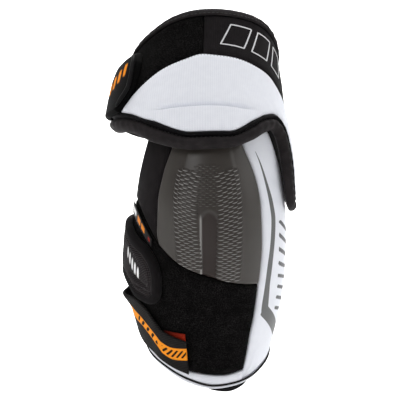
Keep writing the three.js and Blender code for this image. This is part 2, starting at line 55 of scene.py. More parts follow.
# Body liner: the soft sleeve that lies against the arm, open along the back. It is foam faced with
# brushed nylon, cut flat, bent round the arm and turned over at its edges. The rest is sewn onto it.
# Places on the pad are an angle round the arm from its front, a height along it and a depth from the skin.
MM = 0.001
ARM_LEAN = math.radians(20)
BEND_HALF = 45
MEAN_RADIUS = 60
DEGREE = math.radians(MEAN_RADIUS)  # its length round the arm, in millimetres
CELL_ROUNDS = 16
EDGE_CROWDING = 0.7
SEAM_INSET = 0.2
LINER = 5
LINER_HALF_ANGLE = 126
LINER_ROLL = {"radius": 4, "kept": 0.3}
CAP_TOP = 13.5
CAP_CROWN = 6
CAP_SHELL = 4
CAP_HOLLOW = 2
BODY_TOP = 60
BODY_FORM = [  # height, half-widths left, right, front and back
    (-150, 31, 32, 33, 32),
    (-125, 37, 36, 37, 36),
    (-100, 44, 41.6, 41, 40),
    (-75, 49.5, 46, 44.5, 44),
    (-50, 51, 48.2, 47, 46),
    (-25, 49.5, 48.8, 49.5, 47),
    (0, 47, 47.8, 50.5, 47),
    (25, 46.5, 46.5, 49.5, 47),
    (50, 46, 46, 47, 46),
    (75, 45, 45, 44, 45),
    (100, 44, 44, 43, 44),
]
LINER_TOP = [  # angle, height
    (-126, -40), (-118, -17), (-105, -5), (-90, 9), (-77, 22.5), (-65, 37.5), (-55, 50.5), (-40, 62),
    (-20, 70), (0, 72), (20, 70), (40, 62), (55, 48.5), (65, 36), (77, 21), (90, 0), (105, -10),
    (118, -22), (126, -42),
]
WRIST = [  # angle, heights of the piping, the hem's edge and the liner's edge
    (-126, -107, -109, -105),
    (-118, -112, -116, -117.5),
    (-105, -114, -118.5, -120.5),
    (-90, -116.5, -121.5, -124),
    (-50, -123, -127.5, -130),
    (-20, -131, -136, -138),
    (5, -135.5, -139.5, -145.5),
    (29, -134.5, -138.5, -148.5),
    (45, -132.5, -136, -147),
    (60, -129, -132.8, -142.5),
    (90, -124, -128.5, -133),
    (112, -120, -124.5, -127),
    (120, -118, -121, -121.5),
    (126, -112, -114, -108),
]
CAP_LEFT = [  # height, angle
    (-23, -41.5), (-15, -44), (0, -44), (17, -39), (32, -31), (46, -24), (60, -14),
]
WHITE_SEAM = [  # height, angle
    (-136, 33), (-124, 34.5), (-111, 35.5), (-93, 36), (-71, 38), (-48, 39.5), (-36, 41), (-23, 42),
    (0, 41), (12, 38), (22, 33), (31.5, 26.5), (44, 20), (60, 12),
]
LOOP_TOP = [  # angle, height
    (-90, 6), (-75, 0), (-59, -10), (-41.5, -23), (-23, -33), (4, -40.5), (39.5, -48),
]


def mix(start, end, share):
    """What lies a share of the way from start to end."""
    return start + (end - start) * share


def always(value):
    """An angle, height or depth that is the same at all places."""
    return lambda at, *rest: np.full(np.shape(at), float(value))


def curve(rows, column=1):
    """A smooth curve through a table's rows that never swings past them, level beyond its ends."""
    x = np.array([row[0] for row in rows], float)
    y = np.array([row[column] for row in rows], float)
    slope = np.diff(y) / np.diff(x)
    before, after = slope[:-1], slope[1:]
    steady = before * after > 0
    inner = np.where(steady, 2 * before * after / np.where(steady, before + after, 1), 0)
    tangent = np.concatenate([slope[:1], inner, slope[-1:]])

    def value(at):
        at = np.clip(np.asarray(at, float), x[0], x[-1])
        i = np.clip(np.searchsorted(x, at) - 1, 0, len(x) - 2)
        step = x[i + 1] - x[i]
        t = (at - x[i]) / step
        leaving = tangent[i] * step * t * (1 - t) ** 2
        arriving = tangent[i + 1] * step * t * t * (t - 1)
        return mix(y[i], y[i + 1], t * t * (3 - 2 * t)) + leaving + arriving

    return value


def curves(rows, *columns):
    """A curve for each of several columns of one table."""
    return [curve(rows, column) for column in columns]


def on_arm(form, phi, s, depth):
    """Points in millimetres at angles, heights and depths on a form whose axis bends at the elbow."""
    left, right, front, back = form
    phi, s = np.asarray(phi, float), np.asarray(s, float)
    bent = np.clip(s, -BEND_HALF, BEND_HALF)
    radius = BEND_HALF / ARM_LEAN
    tilt = bent / radius
    axis_y = radius * (1 - np.cos(tilt)) + (s - bent) * np.sin(tilt)
    axis_z = radius * np.sin(tilt) + (s - bent) * np.cos(tilt)
    sine, cosine = np.sin(np.radians(phi)), np.cos(np.radians(phi))
    wide = np.where(sine >= 0, right(s), left(s))
    deep = np.where(cosine >= 0, front(s), back(s))
    steepness = np.hypot(sine / wide, cosine / deep)
    x = wide * sine + depth * sine / (wide * steepness)
    rear = -deep * cosine - depth * cosine / (deep * steepness)
    return np.stack([x, axis_y + rear * np.cos(tilt), axis_z - rear * np.sin(tilt)], -1)


def crowded_ends(count, crowding):
    """Shares from 0 to 1 that lie closer together near both ends, where a pad's rim is rolled."""
    even = np.linspace(0, 1, count)
    return even - crowding * np.sin(2 * np.pi * even) / (2 * np.pi)


def places_in(cell, columns, rows, crowding=EDGE_CROWDING):
    """Angles and heights of a grid over a cell, whose sides give angles and whose ends give heights."""
    left, right, low, high = cell
    side = np.degrees(SEAM_INSET / MEAN_RADIUS)
    across, along = crowded_ends(columns, crowding), crowded_ends(rows, crowding)[:, None]
    phi = np.full((rows, columns), (left(0.0) + right(0.0)) / 2)
    for _ in range(CELL_ROUNDS):
        s = mix(low(phi) + SEAM_INSET, high(phi) - SEAM_INSET, along)
        phi = mix(left(s) + side, right(s) - side, across)
    return phi, s


def rim_of(grid):
    """The grid's outermost points, once round."""
    return np.concatenate([grid[0, :-1], grid[:-1, -1], grid[-1, :0:-1], grid[:0:-1, 0]])


def from_rim(points, steps=6):
    """How far each point of a grid is from the grid's rim, in millimetres."""
    rim = rim_of(points)
    shares = np.arange(steps)[:, None, None] / steps
    dense = mix(rim, np.roll(rim, -1, axis=0), shares).reshape(-1, 3)
    tree = KDTree(len(dense))
    for i, point in enumerate(dense):
        tree.insert(point, i)
    tree.balance()
    return np.array([tree.find(point)[2] for point in points.reshape(-1, 3)]).reshape(points.shape[:2])


def rolled(distance, radius, kept):
    """Share of a pad's thickness at a distance from its rim, from the kept share up, round as a roll."""
    inward = np.clip(distance / radius, 0, 1)
    return kept + (1 - kept) * np.sqrt(1 - (1 - inward) ** 2)


def in_scene(name, data):
    """A new object that shows a mesh, lamp or camera."""
    thing = bpy.data.objects.new(name, data)
    bpy.context.scene.collection.objects.link(thing)
    return thing


def new_piece(name, points, faces, uv, marks):
    """A smooth mesh from points in millimetres. uv is each point's place on the flat cloth, in
    millimetres, and marks are numbers for each point that its material reads."""
    mesh = bpy.data.meshes.new(name)
    mesh.from_pydata((points * MM).tolist(), [], faces)
    mesh.polygons.foreach_set("use_smooth", [True] * len(mesh.polygons))
    corners = np.zeros(len(mesh.loops), int)
    mesh.loops.foreach_get("vertex_index", corners)
    layer = mesh.uv_layers.new(name="cloth")
    layer.data.foreach_set("uv", (uv[corners] * MM).astype(np.float32).ravel())
    for mark, values in marks.items():
        attribute = mesh.attributes.new(mark, "FLOAT", "POINT")
        attribute.data.foreach_set("value", np.asarray(values, np.float32).ravel())
    return in_scene(name, mesh)


def grid_faces(number):
    """Four-sided faces over a grid of numbered points."""
    return np.stack([number[:-1, :-1], number[:-1, 1:], number[1:, 1:], number[1:, :-1]], -1).reshape(-1, 4)


def closed_wall(name, inner, outer, phi, s, **marks):
    """A closed piece between an inner and an outer grid of points in millimetres. A mark is one grid of
    numbers for both faces, or a grid for each."""
    count = phi.size
    number = np.arange(count).reshape(phi.shape)
    face = grid_faces(number)
    ring = rim_of(number)
    after = np.roll(ring, -1)
    side = np.stack([ring, after, after + count, ring + count], -1)
    faces = np.concatenate([face + count, face[:, [0, 3, 2, 1]], side]).tolist()
    points = np.concatenate([inner.reshape(-1, 3), outer.reshape(-1, 3)])
    flat = np.stack([phi * DEGREE, s], -1).reshape(-1, 2)
    both = {mark: np.resize(values, 2 * count) for mark, values in marks.items()}
    return new_piece(name, points, faces, np.tile(flat, (2, 1)), both)


def linear(hex_colour):
    """An sRGB hex colour as linear red, green, blue and alpha."""
    channels = [int(hex_colour[i:i + 2], 16) / 255 for i in (1, 3, 5)]
    return [c / 12.92 if c <= 0.04045 else ((c + 0.055) / 1.055) ** 2.4 for c in channels] + [1.0]


def feed(tree, node, links):
    """Gives a node's inputs a value, an output, or another node, which stands for its first output."""
    for name, value in links.items():
        if isinstance(value, bpy.types.Node):
            value = value.outputs[0]
        if isinstance(value, bpy.types.NodeSocket):
            tree.links.new(value, node.inputs[name])
        else:
            node.inputs[name].default_value = value


def add_node(tree, kind, links=None, **settings):
    """A new node of a kind, with its settings and what feeds its inputs."""
    node = tree.nodes.new(kind)
    for name, value in settings.items():
        setattr(node, name, value)
    feed(tree, node, links or {})
    return node


def new_finish(name, **surface):
    """A material with one Principled shader, and the values that are the same all over it."""
    material = bpy.data.materials.new(name)
    material.use_nodes = True
    shader = material.node_tree.nodes["Principled BSDF"]
    for socket, value in surface.items():
        shader.inputs[socket.replace("_", " ")].default_value = value
    return material, material.node_tree, shader


def coloured(tree, shader, share, dark, light, height, relief_mm, over=()):
    """Gives a shader a tone between two colours, and the relief of a height in millimetres. over lists
    other colours that cover the tone, each after the share of it that shows."""
    tone = add_node(tree, "ShaderNodeMixRGB", {"Fac": share, "Color1": linear(dark), "Color2": linear(light)})
    for cover, ink in over:
        ink = linear(ink) if isinstance(ink, str) else ink
        tone = add_node(tree, "ShaderNodeMixRGB", {"Fac": cover, "Color1": tone, "Color2": ink})
    relief = add_node(tree, "ShaderNodeBump", {"Height": height, "Distance": relief_mm * MM})
    feed(tree, shader, {"Base Color": tone, "Normal": relief})


def dress(piece, finish=None, node=None):
    """Gives a piece its finish, hangs it on the root, and hides the CAD solid that it stands for."""
    if finish:
        piece.data.materials.append(finish)
    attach(piece, "root")
    if node:
        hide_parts(node)
    return piece


def brushed_nylon():
    """Nylon tricot over foam, brushed so that short fibres lie along the arm: matt, with a soft sheen."""
    fibre_width, fibre_length, patch, nap = 0.5, 3.0, 7.0, 0.15
    material, tree, shader = new_finish(
        "brushed_nylon", Roughness=0.92, Specular_IOR_Level=0.06, Sheen_Weight=0.02, Sheen_Roughness=0.5
    )
    cloth = add_node(tree, "ShaderNodeUVMap", uv_map="cloth")
    stretch = (1 / (fibre_width * MM), 1 / (fibre_length * MM), 1)
    along = add_node(tree, "ShaderNodeMapping", {"Vector": cloth, "Scale": stretch})
    fibres = add_node(tree, "ShaderNodeTexNoise", {"Vector": along, "Scale": 1.0, "Detail": 3.0})
    patches = add_node(tree, "ShaderNodeTexNoise", {"Vector": cloth, "Scale": 1 / (patch * MM)})
    share = add_node(tree, "ShaderNodeMath", {0: fibres, 1: patches}, operation="MULTIPLY")
    coloured(tree, shader, share, "#0a0a0b", "#1c1b1c", fibres, nap)
    return material


body = curves(BODY_FORM, 1, 2, 3, 4)
cap_left, white_seam, loop_top = curve(CAP_LEFT), curve(WHITE_SEAM), curve(LOOP_TOP)
piping, hem_edge, liner_low = curves(WRIST, 1, 2, 3)


def cap_rise(phi, s):
    """How far up the cap's crown a place is: none at its seams, all of it in the middle."""
    u = (phi - cap_left(s)) / (white_seam(s) - cap_left(s))
    v = (s - loop_top(phi)) / (BODY_TOP - loop_top(phi))
    inside = (u > 0) & (u < 1) & (v > 0) & (v < 1)
    return np.where(inside, (np.sin(np.pi * u) * np.sin(np.pi * v)) ** 2, 0)


def liner_outside(phi, s):
    """Depth of the liner's outer face, which rises under the cap's crown."""
    return LINER + (CAP_TOP + CAP_CROWN - CAP_SHELL - CAP_HOLLOW - LINER) * cap_rise(phi, s)


liner_cell = (always(-LINER_HALF_ANGLE), always(LINER_HALF_ANGLE), liner_low, curve(LINER_TOP))
phi, s = places_in(liner_cell, columns=120, rows=80)
thinned = LINER / 2 * (1 - rolled(from_rim(on_arm(body, phi, s, 0)), **LINER_ROLL))
inner, outer = on_arm(body, phi, s, thinned), on_arm(body, phi, s, liner_outside(phi, s) - thinned)
nylon = brushed_nylon()
dress(closed_wall("liner_of_body", inner, outer, phi, s), nylon, "body_liner")


# Elbow cap: the hard crowned shell over the point of the elbow, with a smooth slot down its middle.
# Injection-moulded polyethylene in smoky grey, satin, set on the liner with its rim between the panels.
# Its fish-scale relief is moulded with it: a strip on each side of the slot and a finer one over it.
LAYER_GAP = 0.5
CAP_GRID = {"columns": 150, "rows": 160, "crowding": 0.2}
CAP_RIM = {"radius": 2.5, "kept": 0.6}
SLOT = {"left": -6.5, "right": 5.0, "top": -4.0, "depth": 1.7, "wall": 0.8}
SLOT_BROW = {"off": 1.9, "half": 0.8, "height": 0.55, "from": -12, "to": -6}
SLOT_RIB = {"half": 0.5, "height": 0.5, "from": -36, "to": -8, "fade": 4}
SCALE_FIELD = {"middle": -2, "bow": 0.008, "level": -28, "bowed": 8, "rise": 0.6, "soft": 2.0}
SCALE = {
    "rows": 1.8, "pitch": 6.48, "length": 7.2, "width": 3.6, "thickness": 0.6, "tilt": -0.3, "lip": -1.0,
}
FINE_SCALE = {
    "rows": 1.7, "pitch": 4.5, "length": 5.0, "width": 2.6, "thickness": 0.3, "tilt": -0.16, "lip": -0.78,
}
SCALE_SIDES = 16
ELBOW_STRETCH = 1.53  # how much longer a length along the arm is on the cap, outside the bend
FINE_STRIP = [  # height, angles of its two sides
    (0, -9, 4.5),
    (21, -8, 3.5),
]
SCALE_STRIPS = [  # height, angles of the left strip's two sides, and of the right strip's
    (-46, -19, -8, 5.5, 19.5),
    (-30, -20.5, -9, 6, 20),
    (-13, -23, -10.5, 6, 20.5),
    (0, -23.5, -11, 6, 19.5),
    (12, -21, -10.5, 5.5, 17.5),
    (18, -17, -9.5, 5, 14),
]
FIELD_SIDES = [  # height, angles of the raised field's two sides
    (-46, -21, 21.5), (-13, -25, 22.5), (0, -25.5, 21.5), (18, -20, 17), (36, -14, 12.5), (60, -9, 8),
]


def moulded_plastic():
    """Smoky polyethylene from a satin mould: dark warm grey, soft wide highlights, a faint flow in it.
    Painted light makes it lighter towards the flanks, painted shade makes it darker in the slot, and a
    pale painted highlight lies on its rib and on the scales' lips."""
    flow, grain, peel, flank_light = 30.0, 1.1, 0.02, 0.6
    material, tree, shader = new_finish(
        "moulded_plastic", IOR=1.5, Specular_IOR_Level=0.36, Coat_Weight=0.05, Coat_Roughness=0.25
    )
    place = add_node(tree, "ShaderNodeTexCoord").outputs["Object"]
    slot, rib, lip, flank = (
        add_node(tree, "ShaderNodeAttribute", attribute_name=mark).outputs["Fac"]
        for mark in ("slot", "rib", "lip", "flank")
    )
    # The scales' lower lips and the slot's rib are painted pale as a highlight.
    edge = {"Value": lip, "From Min": 0.28, "From Max": 0.43, "To Max": 0.8}
    pale = add_node(tree, "ShaderNodeMapRange", edge)
    painted_highlight = add_node(tree, "ShaderNodeMath", {0: rib, 1: pale}, operation="MAXIMUM")
    streaks = add_node(tree, "ShaderNodeTexNoise", {"Vector": place, "Scale": 1 / (flow * MM), "Detail": 4.0})
    grit = add_node(tree, "ShaderNodeTexNoise", {"Vector": place, "Scale": 1 / (grain * MM), "Detail": 2.0})
    # Painted light: the colour is lighter towards the cap's flanks.
    thin = add_node(tree, "ShaderNodeMath", {0: flank, 1: flank_light, 2: streaks}, operation="MULTIPLY_ADD")
    polish = add_node(tree, "ShaderNodeMapRange", {"Value": streaks, "To Min": 0.3, "To Max": 0.46})
    # Painted shade darkens the slot; the pale painted highlight lies on the rib and the scales' lips.
    painted_light_and_shade = [(slot, "#20130e"), (painted_highlight, "#9b9996")]
    coloured(tree, shader, thin, "#29231f", "#3d3935", grit, peel, painted_light_and_shade)
    feed(tree, shader, {"Roughness": polish})
    return material


def panel_floor(phi, s):
    """Depth of the inner face of the cap and of the body's panels, clear of the liner."""
    return liner_outside(phi, s) + mix(LAYER_GAP, CAP_HOLLOW, np.sqrt(cap_rise(phi, s)))


def fade(none, full, at):
    """A smooth step from 0 at one value to 1 at another, rising or falling."""
    share = np.clip((at - none) / (full - none), 0, 1)
    return share * share * (3 - 2 * share)


def bell(off, half):
    """1 in the middle, falling away smoothly on both sides."""
    return np.exp(-((off / half) ** 2))


def in_slot(phi, s):
    """How far inside the slot, which is round at the top, a place is, below 0 outside it."""
    middle, half = (SLOT["left"] + SLOT["right"]) / 2, (SLOT["right"] - SLOT["left"]) / 2
    above = np.maximum(s - (SLOT["top"] - half), 0)
    return half - np.hypot(phi - middle, above)


def slot_share(phi, s):
    """1 inside the slot and 0 outside it."""
    return fade(-SLOT["wall"], SLOT["wall"], in_slot(phi, s))


def rib_share(phi, s):
    """1 along the middle of the thin rib on the slot's left side, 0 away from it."""
    start, end, soft = SLOT_RIB["from"], SLOT_RIB["to"], SLOT_RIB["fade"]
    reach = fade(start - soft, start, s) * fade(end + soft, end, s)
    return reach * bell(phi - SLOT["left"], SLOT_RIB["half"])


def cap_outside(phi, s):
    """Depth of the cap's outside: its crown, the raised field, the slot, its rib and the brow over it."""
    crown = CAP_TOP + CAP_CROWN * np.sqrt(cap_rise(phi, s))
    left, right = (side(s) for side in curves(FIELD_SIDES, 1, 2))
    soft = SCALE_FIELD["soft"]
    field = SCALE_FIELD["rise"] * fade(-soft, soft, phi - left) * fade(-soft, soft, right - phi)
    over = fade(SLOT_BROW["from"], SLOT_BROW["to"], s)
    brow = over * bell(in_slot(phi, s) + SLOT_BROW["off"], SLOT_BROW["half"])
    ridges = SLOT_RIB["height"] * rib_share(phi, s) + SLOT_BROW["height"] * brow
    return crown + field + ridges - SLOT["depth"] * slot_share(phi, s)


def grown(name, base, tree, **sizes):
    """The plain mesh that a tree of Geometry Nodes makes from a base mesh, as a new object."""
    start = in_scene(name + "_base", base)
    modifier = start.modifiers.new("grow", "NODES")
    modifier.node_group = tree
    for item in tree.interface.items_tree:
        if item.in_out == "INPUT" and item.name in sizes:
            modifier[item.identifier] = sizes[item.name]
    bpy.context.view_layer.update()
    shown = start.evaluated_get(bpy.context.evaluated_depsgraph_get())
    piece = in_scene(name, bpy.data.meshes.new_from_object(shown))
    bpy.data.objects.remove(start)
    bpy.data.meshes.remove(base)
    return piece


def new_growth(name, kinds, numbers):
    """An empty tree of Geometry Nodes and what its inputs give. kinds are its inputs' kinds by name."""
    tree = bpy.data.node_groups.new(name, "GeometryNodeTree")
    for socket, kind in {**kinds, **dict.fromkeys(numbers, "Float")}.items():
        tree.interface.new_socket(socket, in_out="INPUT", socket_type="NodeSocket" + kind)
    tree.interface.new_socket("Made", in_out="OUTPUT", socket_type="NodeSocketGeometry")
    return tree, add_node(tree, "NodeGroupInput").outputs


def beads_along_paths():
    """A tree that lays one flat bead after another along paths, on the surface that is nearest.
    Beads are stitches on cloth, and scales on the cap. Their attribute "lip" is most at the lower edge."""
    kinds = {"Paths": "Geometry", "Ground": "Object", "Finish": "Material", "Sides": "Int"}
    numbers = ("Pitch", "Length", "Width", "Thickness", "Turn", "Tilt", "Lip")
    tree, given = new_growth("beads_along_paths", kinds, numbers)
    lines = add_node(tree, "GeometryNodeMeshToCurve", {"Mesh": given["Paths"]})
    spacing = {"Curve": lines, "Length": given["Pitch"]}
    even = add_node(tree, "GeometryNodeResampleCurve", spacing, mode="LENGTH")
    dots = add_node(tree, "GeometryNodeCurveToPoints", {"Curve": even}, mode="EVALUATED").outputs
    ground = add_node(tree, "GeometryNodeObjectInfo", {"Object": given["Ground"]}).outputs["Geometry"]
    spot = add_node(tree, "GeometryNodeInputPosition")
    facing = add_node(tree, "GeometryNodeInputNormal")
    nearest, outward = (
        add_node(tree, "GeometryNodeSampleNearestSurface", sought, data_type="FLOAT_VECTOR")
        for sought in ({"Mesh": ground, "Value": spot}, {"Mesh": ground, "Value": facing})
    )
    laid = add_node(tree, "GeometryNodeSetPosition", {"Geometry": dots["Points"], "Position": nearest})
    upright = add_node(tree, "FunctionNodeAlignRotationToVector", {"Vector": outward}, axis="Z")
    ahead = {"Rotation": upright, "Vector": dots["Tangent"]}
    way = add_node(tree, "FunctionNodeAlignRotationToVector", ahead, axis="X", pivot_axis="Z")
    for axis, angle in (((0, 0, 1), given["Turn"]), ((1, 0, 0), given["Tilt"])):
        turn = add_node(tree, "FunctionNodeAxisAngleToRotation", {"Axis": axis, "Angle": angle})
        both = {"Rotation": way, "Rotate By": turn}
        way = add_node(tree, "FunctionNodeRotateRotation", both, rotation_space="LOCAL")
    bead = add_node(tree, "GeometryNodeMeshUVSphere", {"Segments": given["Sides"], "Rings": 4, "Radius": 0.5})
    # lip marks each bead's lower edge, which the cap's plastic paints pale as a highlight.
    side = add_node(tree, "ShaderNodeSeparateXYZ", {"Vector": spot}).outputs["Y"]
    below = add_node(tree, "ShaderNodeMath", {0: side, 1: given["Lip"]}, operation="MULTIPLY")
    lip = {"Geometry": bead, "Name": "lip", "Value": below}
    lipped = add_node(tree, "GeometryNodeStoreNamedAttribute", lip, data_type="FLOAT", domain="POINT")
    sides = {"X": given["Length"], "Y": given["Width"], "Z": given["Thickness"]}
    size = add_node(tree, "ShaderNodeCombineXYZ", sides)
    setting = {"Points": laid, "Instance": lipped, "Rotation": way, "Scale": size}
    set_down = add_node(tree, "GeometryNodeInstanceOnPoints", setting)
    real = add_node(tree, "GeometryNodeRealizeInstances", {"Geometry": set_down})
    smooth = add_node(tree, "GeometryNodeSetShadeSmooth", {"Geometry": real})
    finished = add_node(tree, "GeometryNodeSetMaterial", {"Geometry": smooth, "Material": given["Finish"]})
    add_node(tree, "NodeGroupOutput", {"Made": finished})
    return tree


def laid_beads(name, ground, paths, bead, finish, turn=0.0, sides=6):
    """Beads of one size on a piece, along paths of points in millimetres."""
    mesh = bpy.data.meshes.new(name)
    starts = np.cumsum([0] + [len(path) for path in paths])
    edges = [(i, i + 1) for a, b in zip(starts[:-1], starts[1:]) for i in range(a, b - 1)]
    mesh.from_pydata((np.concatenate(paths) * MM).tolist(), edges, [])
    sizes = {size.capitalize(): bead[size] * MM for size in ("pitch", "length", "width", "thickness")}
    lean = {side.capitalize(): float(bead.get(side, 0)) for side in ("tilt", "lip")}
    piece = grown(name, mesh, beads, Ground=ground, Finish=finish, Turn=turn, Sides=sides, **sizes, **lean)
    return dress(piece)


def scale_rows(strip, columns, scale):
    """Rows of places across a strip, bowed down at the middle of the cap, with one scale more in every
    other row."""
    left, right = curves(strip, *columns)
    to_mm = np.radians(MEAN_RADIUS + CAP_CROWN)
    step = scale["length"] / to_mm
    rows = []
    for n, level in enumerate(np.arange(strip[0][0], strip[-1][0], scale["rows"] / ELBOW_STRETCH)):
        count = max(2, round(float(right(level) - left(level)) / step)) + n % 2
        middle = (left(level) + right(level)) / 2
        phi = middle + step * (np.arange(count) - (count - 1) / 2)
        off, off_middle = ((angle - SCALE_FIELD["middle"]) * to_mm for angle in (phi, middle))
        bow = SCALE_FIELD["bow"] * fade(SCALE_FIELD["level"], SCALE_FIELD["bowed"], level)
        s = level + bow * (off ** 2 - off_middle ** 2)
        clear = s > loop_top(phi) + scale["width"] / 2
        phi, s = phi[clear], s[clear]
        if len(phi) > 1:
            rows.append(on_arm(body, phi, s, cap_outside(phi, s)))
    return rows


phi, s = places_in((cap_left, white_seam, loop_top, always(BODY_TOP)), **CAP_GRID)
tucked = rolled(from_rim(on_arm(body, phi, s, CAP_TOP)), **CAP_RIM)
low = panel_floor(phi, s)
inner, outer = on_arm(body, phi, s, low), on_arm(body, phi, s, mix(low, cap_outside(phi, s), tucked))
across = crowded_ends(CAP_GRID["columns"], CAP_GRID["crowding"])
# flank marks where the cap's finish paints light; slot and rib mark its painted shade and painted highlight.
flank = np.broadcast_to((2 * across - 1) ** 2, phi.shape)
moulding = {"slot": slot_share(phi, s), "rib": rib_share(phi, s), "flank": flank}
plastic = moulded_plastic()
cap = closed_wall("cap_of_elbow", inner, outer, phi, s, **moulding)
dress(cap, plastic, "elbow_cap")

beads = beads_along_paths()
coarse_rows = scale_rows(SCALE_STRIPS, (1, 2), SCALE) + scale_rows(SCALE_STRIPS, (3, 4), SCALE)
fine_rows = scale_rows(FINE_STRIP, (1, 2), FINE_SCALE)
for name, rows, scale in (("cap_scales", coarse_rows, SCALE), ("cap_fine_scales", fine_rows, FINE_SCALE)):
    laid_beads(name, cap, rows, scale, plastic, sides=SCALE_SIDES)


# Side panel: the narrow pad on the cap's left, open-cell foam under a fine black rib knit.
# It is cut to shape, sewn to the liner all round and puffs up between its seams.
PANEL_TOP = 14
PANEL_ROLL = {"radius": 4.5, "kept": 0.62}
COVER_SETTLE = 20
COVER_CLOTH = {
    "quality": 6, "mass": 0.2, "tension_stiffness": 15, "compression_stiffness": 15, "shear_stiffness": 5,
    "bending_stiffness": 0.3, "use_pressure": True,
}
SIDE_LEFT = [  # height, angle
    (5, -90), (20, -77), (35, -65), (48, -55), (58, -45),
]
panel_top = always(PANEL_TOP)


def puffed(points, pressure, most, held=None):
    """A cover blown up over its foam: cloth that is held along its rim, and where held says, and pushed
    outwards with no weight of its own. No point moves further than most millimetres."""
    number = np.arange(points[..., 0].size).reshape(points.shape[:2])
    mesh = bpy.data.meshes.new("cover")
    mesh.from_pydata((points.reshape(-1, 3) * MM).tolist(), [], grid_faces(number).tolist())
    cover = in_scene("cover", mesh)
    sewn = cover.vertex_groups.new(name="sewn")
    sewn.add(rim_of(number).tolist(), 1.0, "REPLACE")
    if held is not None:
        sewn.add(number[held].tolist(), 1.0, "REPLACE")
    cloth = cover.modifiers.new("cloth", "CLOTH")
    blown = {"uniform_pressure_force": pressure, "vertex_group_mass": sewn.name}
    for setting, value in {**COVER_CLOTH, **blown}.items():
        setattr(cloth.settings, setting, value)
    cloth.settings.effector_weights.gravity = 0
    cloth.collision_settings.use_collision = False
    cloth.point_cache.frame_end = COVER_SETTLE
    for moment in range(1, COVER_SETTLE + 1):
        bpy.context.scene.frame_set(moment)
    settled = cover.evaluated_get(bpy.context.evaluated_depsgraph_get()).data
    places = np.zeros(len(settled.vertices) * 3)
    settled.vertices.foreach_get("co", places)
    bpy.data.objects.remove(cover)
    bpy.context.scene.frame_set(1)
    move = places.reshape(points.shape) / MM - points
    length = np.linalg.norm(move, axis=-1, keepdims=True)
    return points + move * np.minimum(1, most / np.maximum(length, most))


def padded_panel(
    name, form, cell, columns, rows, pressure, most,
    roll=PANEL_ROLL, floor=panel_floor, top=panel_top, ink=None,
):
    """A closed pad over a cell, rolled along its rim, whose cover is blown up over the foam. ink gives the
    marks of its print."""
    phi, s = places_in(cell, columns, rows)
    low, high = floor(phi, s), top(phi, s)
    rim = from_rim(on_arm(form, phi, s, high))
    cover = on_arm(form, phi, s, low + (high - low - most) * rolled(rim, **roll))
    inner, outer = on_arm(form, phi, s, low), puffed(cover, pressure, most)
    marks = ink(phi, s) if ink else {}
    return closed_wall(name, inner, outer, phi, s, rim=rim, **marks)


def rib_knit(name, dark, light, relief_mm=0.18):
    """Fine weft knit: columns of small V stitches that run up the cloth, matt with a dry sheen.
    Its wales are drawn 1.5 mm wide, about twice the real ones, so that they show."""
    wale, course, patch = 1.5, 1.1, 5.0
    loop_low, loop_tone, light_most = 0.55, 0.75, 0.7
    material, tree, shader = new_finish(
        name, Roughness=0.88, Specular_IOR_Level=0.06, Sheen_Weight=0.02, Sheen_Roughness=0.4
    )
    cloth = add_node(tree, "ShaderNodeUVMap", uv_map="cloth")
    spread = add_node(tree, "ShaderNodeSeparateXYZ", {"Vector": cloth}).outputs
    column = add_node(tree, "ShaderNodeMath", {0: spread["X"], 1: wale * MM}, operation="PINGPONG")
    side = add_node(tree, "ShaderNodeMath", {0: column, 1: 1 / (wale * MM)}, operation="MULTIPLY")
    rise = add_node(tree, "ShaderNodeMath", {0: spread["Y"], 1: 1 / (course * MM)}, operation="MULTIPLY")
    leg = add_node(tree, "ShaderNodeMath", {0: rise, 1: side}, operation="ADD")
    turn = add_node(tree, "ShaderNodeMath", {0: leg, 1: 2 * math.pi}, operation="MULTIPLY")
    wave = add_node(tree, "ShaderNodeMath", {0: turn}, operation="SINE")
    loop = add_node(tree, "ShaderNodeMapRange", {"Value": wave, "From Min": -1.0, "To Min": loop_low})
    arch = add_node(tree, "ShaderNodeMath", {0: side, 1: math.pi}, operation="MULTIPLY")
    swell = add_node(tree, "ShaderNodeMath", {0: arch}, operation="SINE")
    height = add_node(tree, "ShaderNodeMath", {0: swell, 1: loop}, operation="MULTIPLY")
    blotch = add_node(tree, "ShaderNodeTexNoise", {"Vector": cloth, "Scale": 1 / (patch * MM), "Detail": 3.0})
    share = add_node(tree, "ShaderNodeMath", {0: height, 1: loop_tone, 2: blotch}, operation="MULTIPLY_ADD")
    light_share = add_node(tree, "ShaderNodeMath", {0: share, 1: light_most}, operation="MULTIPLY")
    coloured(tree, shader, light_share, dark, light, height, relief_mm)
    return material


black_knit = rib_knit("black_rib_knit", "#0f0e0f", "#242122")
side_cell = (curve(SIDE_LEFT), cap_left, loop_top, always(BODY_TOP))
side_pad = padded_panel("side_pad", body, side_cell, columns=44, rows=60, pressure=4, most=1.2)
dress(side_pad, black_knit, "side_panel")


# Loop panel: the wide black pad round the forearm that the straps' hooks hold on to.
# Foam under brushed loop pile: nylon loops raised from a tricot ground, dull and very dark.
LOOP_LOW = [  # angle, height
    (-118, -109), (-90, -114), (-60, -117.5), (-30, -122.5), (0, -126), (14, -127), (34, -125),
]
LOOP_LEFT = [  # height, angle
    (-109, -118), (-90, -124), (-50, -124), (-15, -114), (6, -90),
]
PILE = {"apart": 1.15, "radius": 0.5, "fibre": 0.07, "clear": 0.8, "seed": 7}
PILE_MOST = 2e6  # loops to a square metre


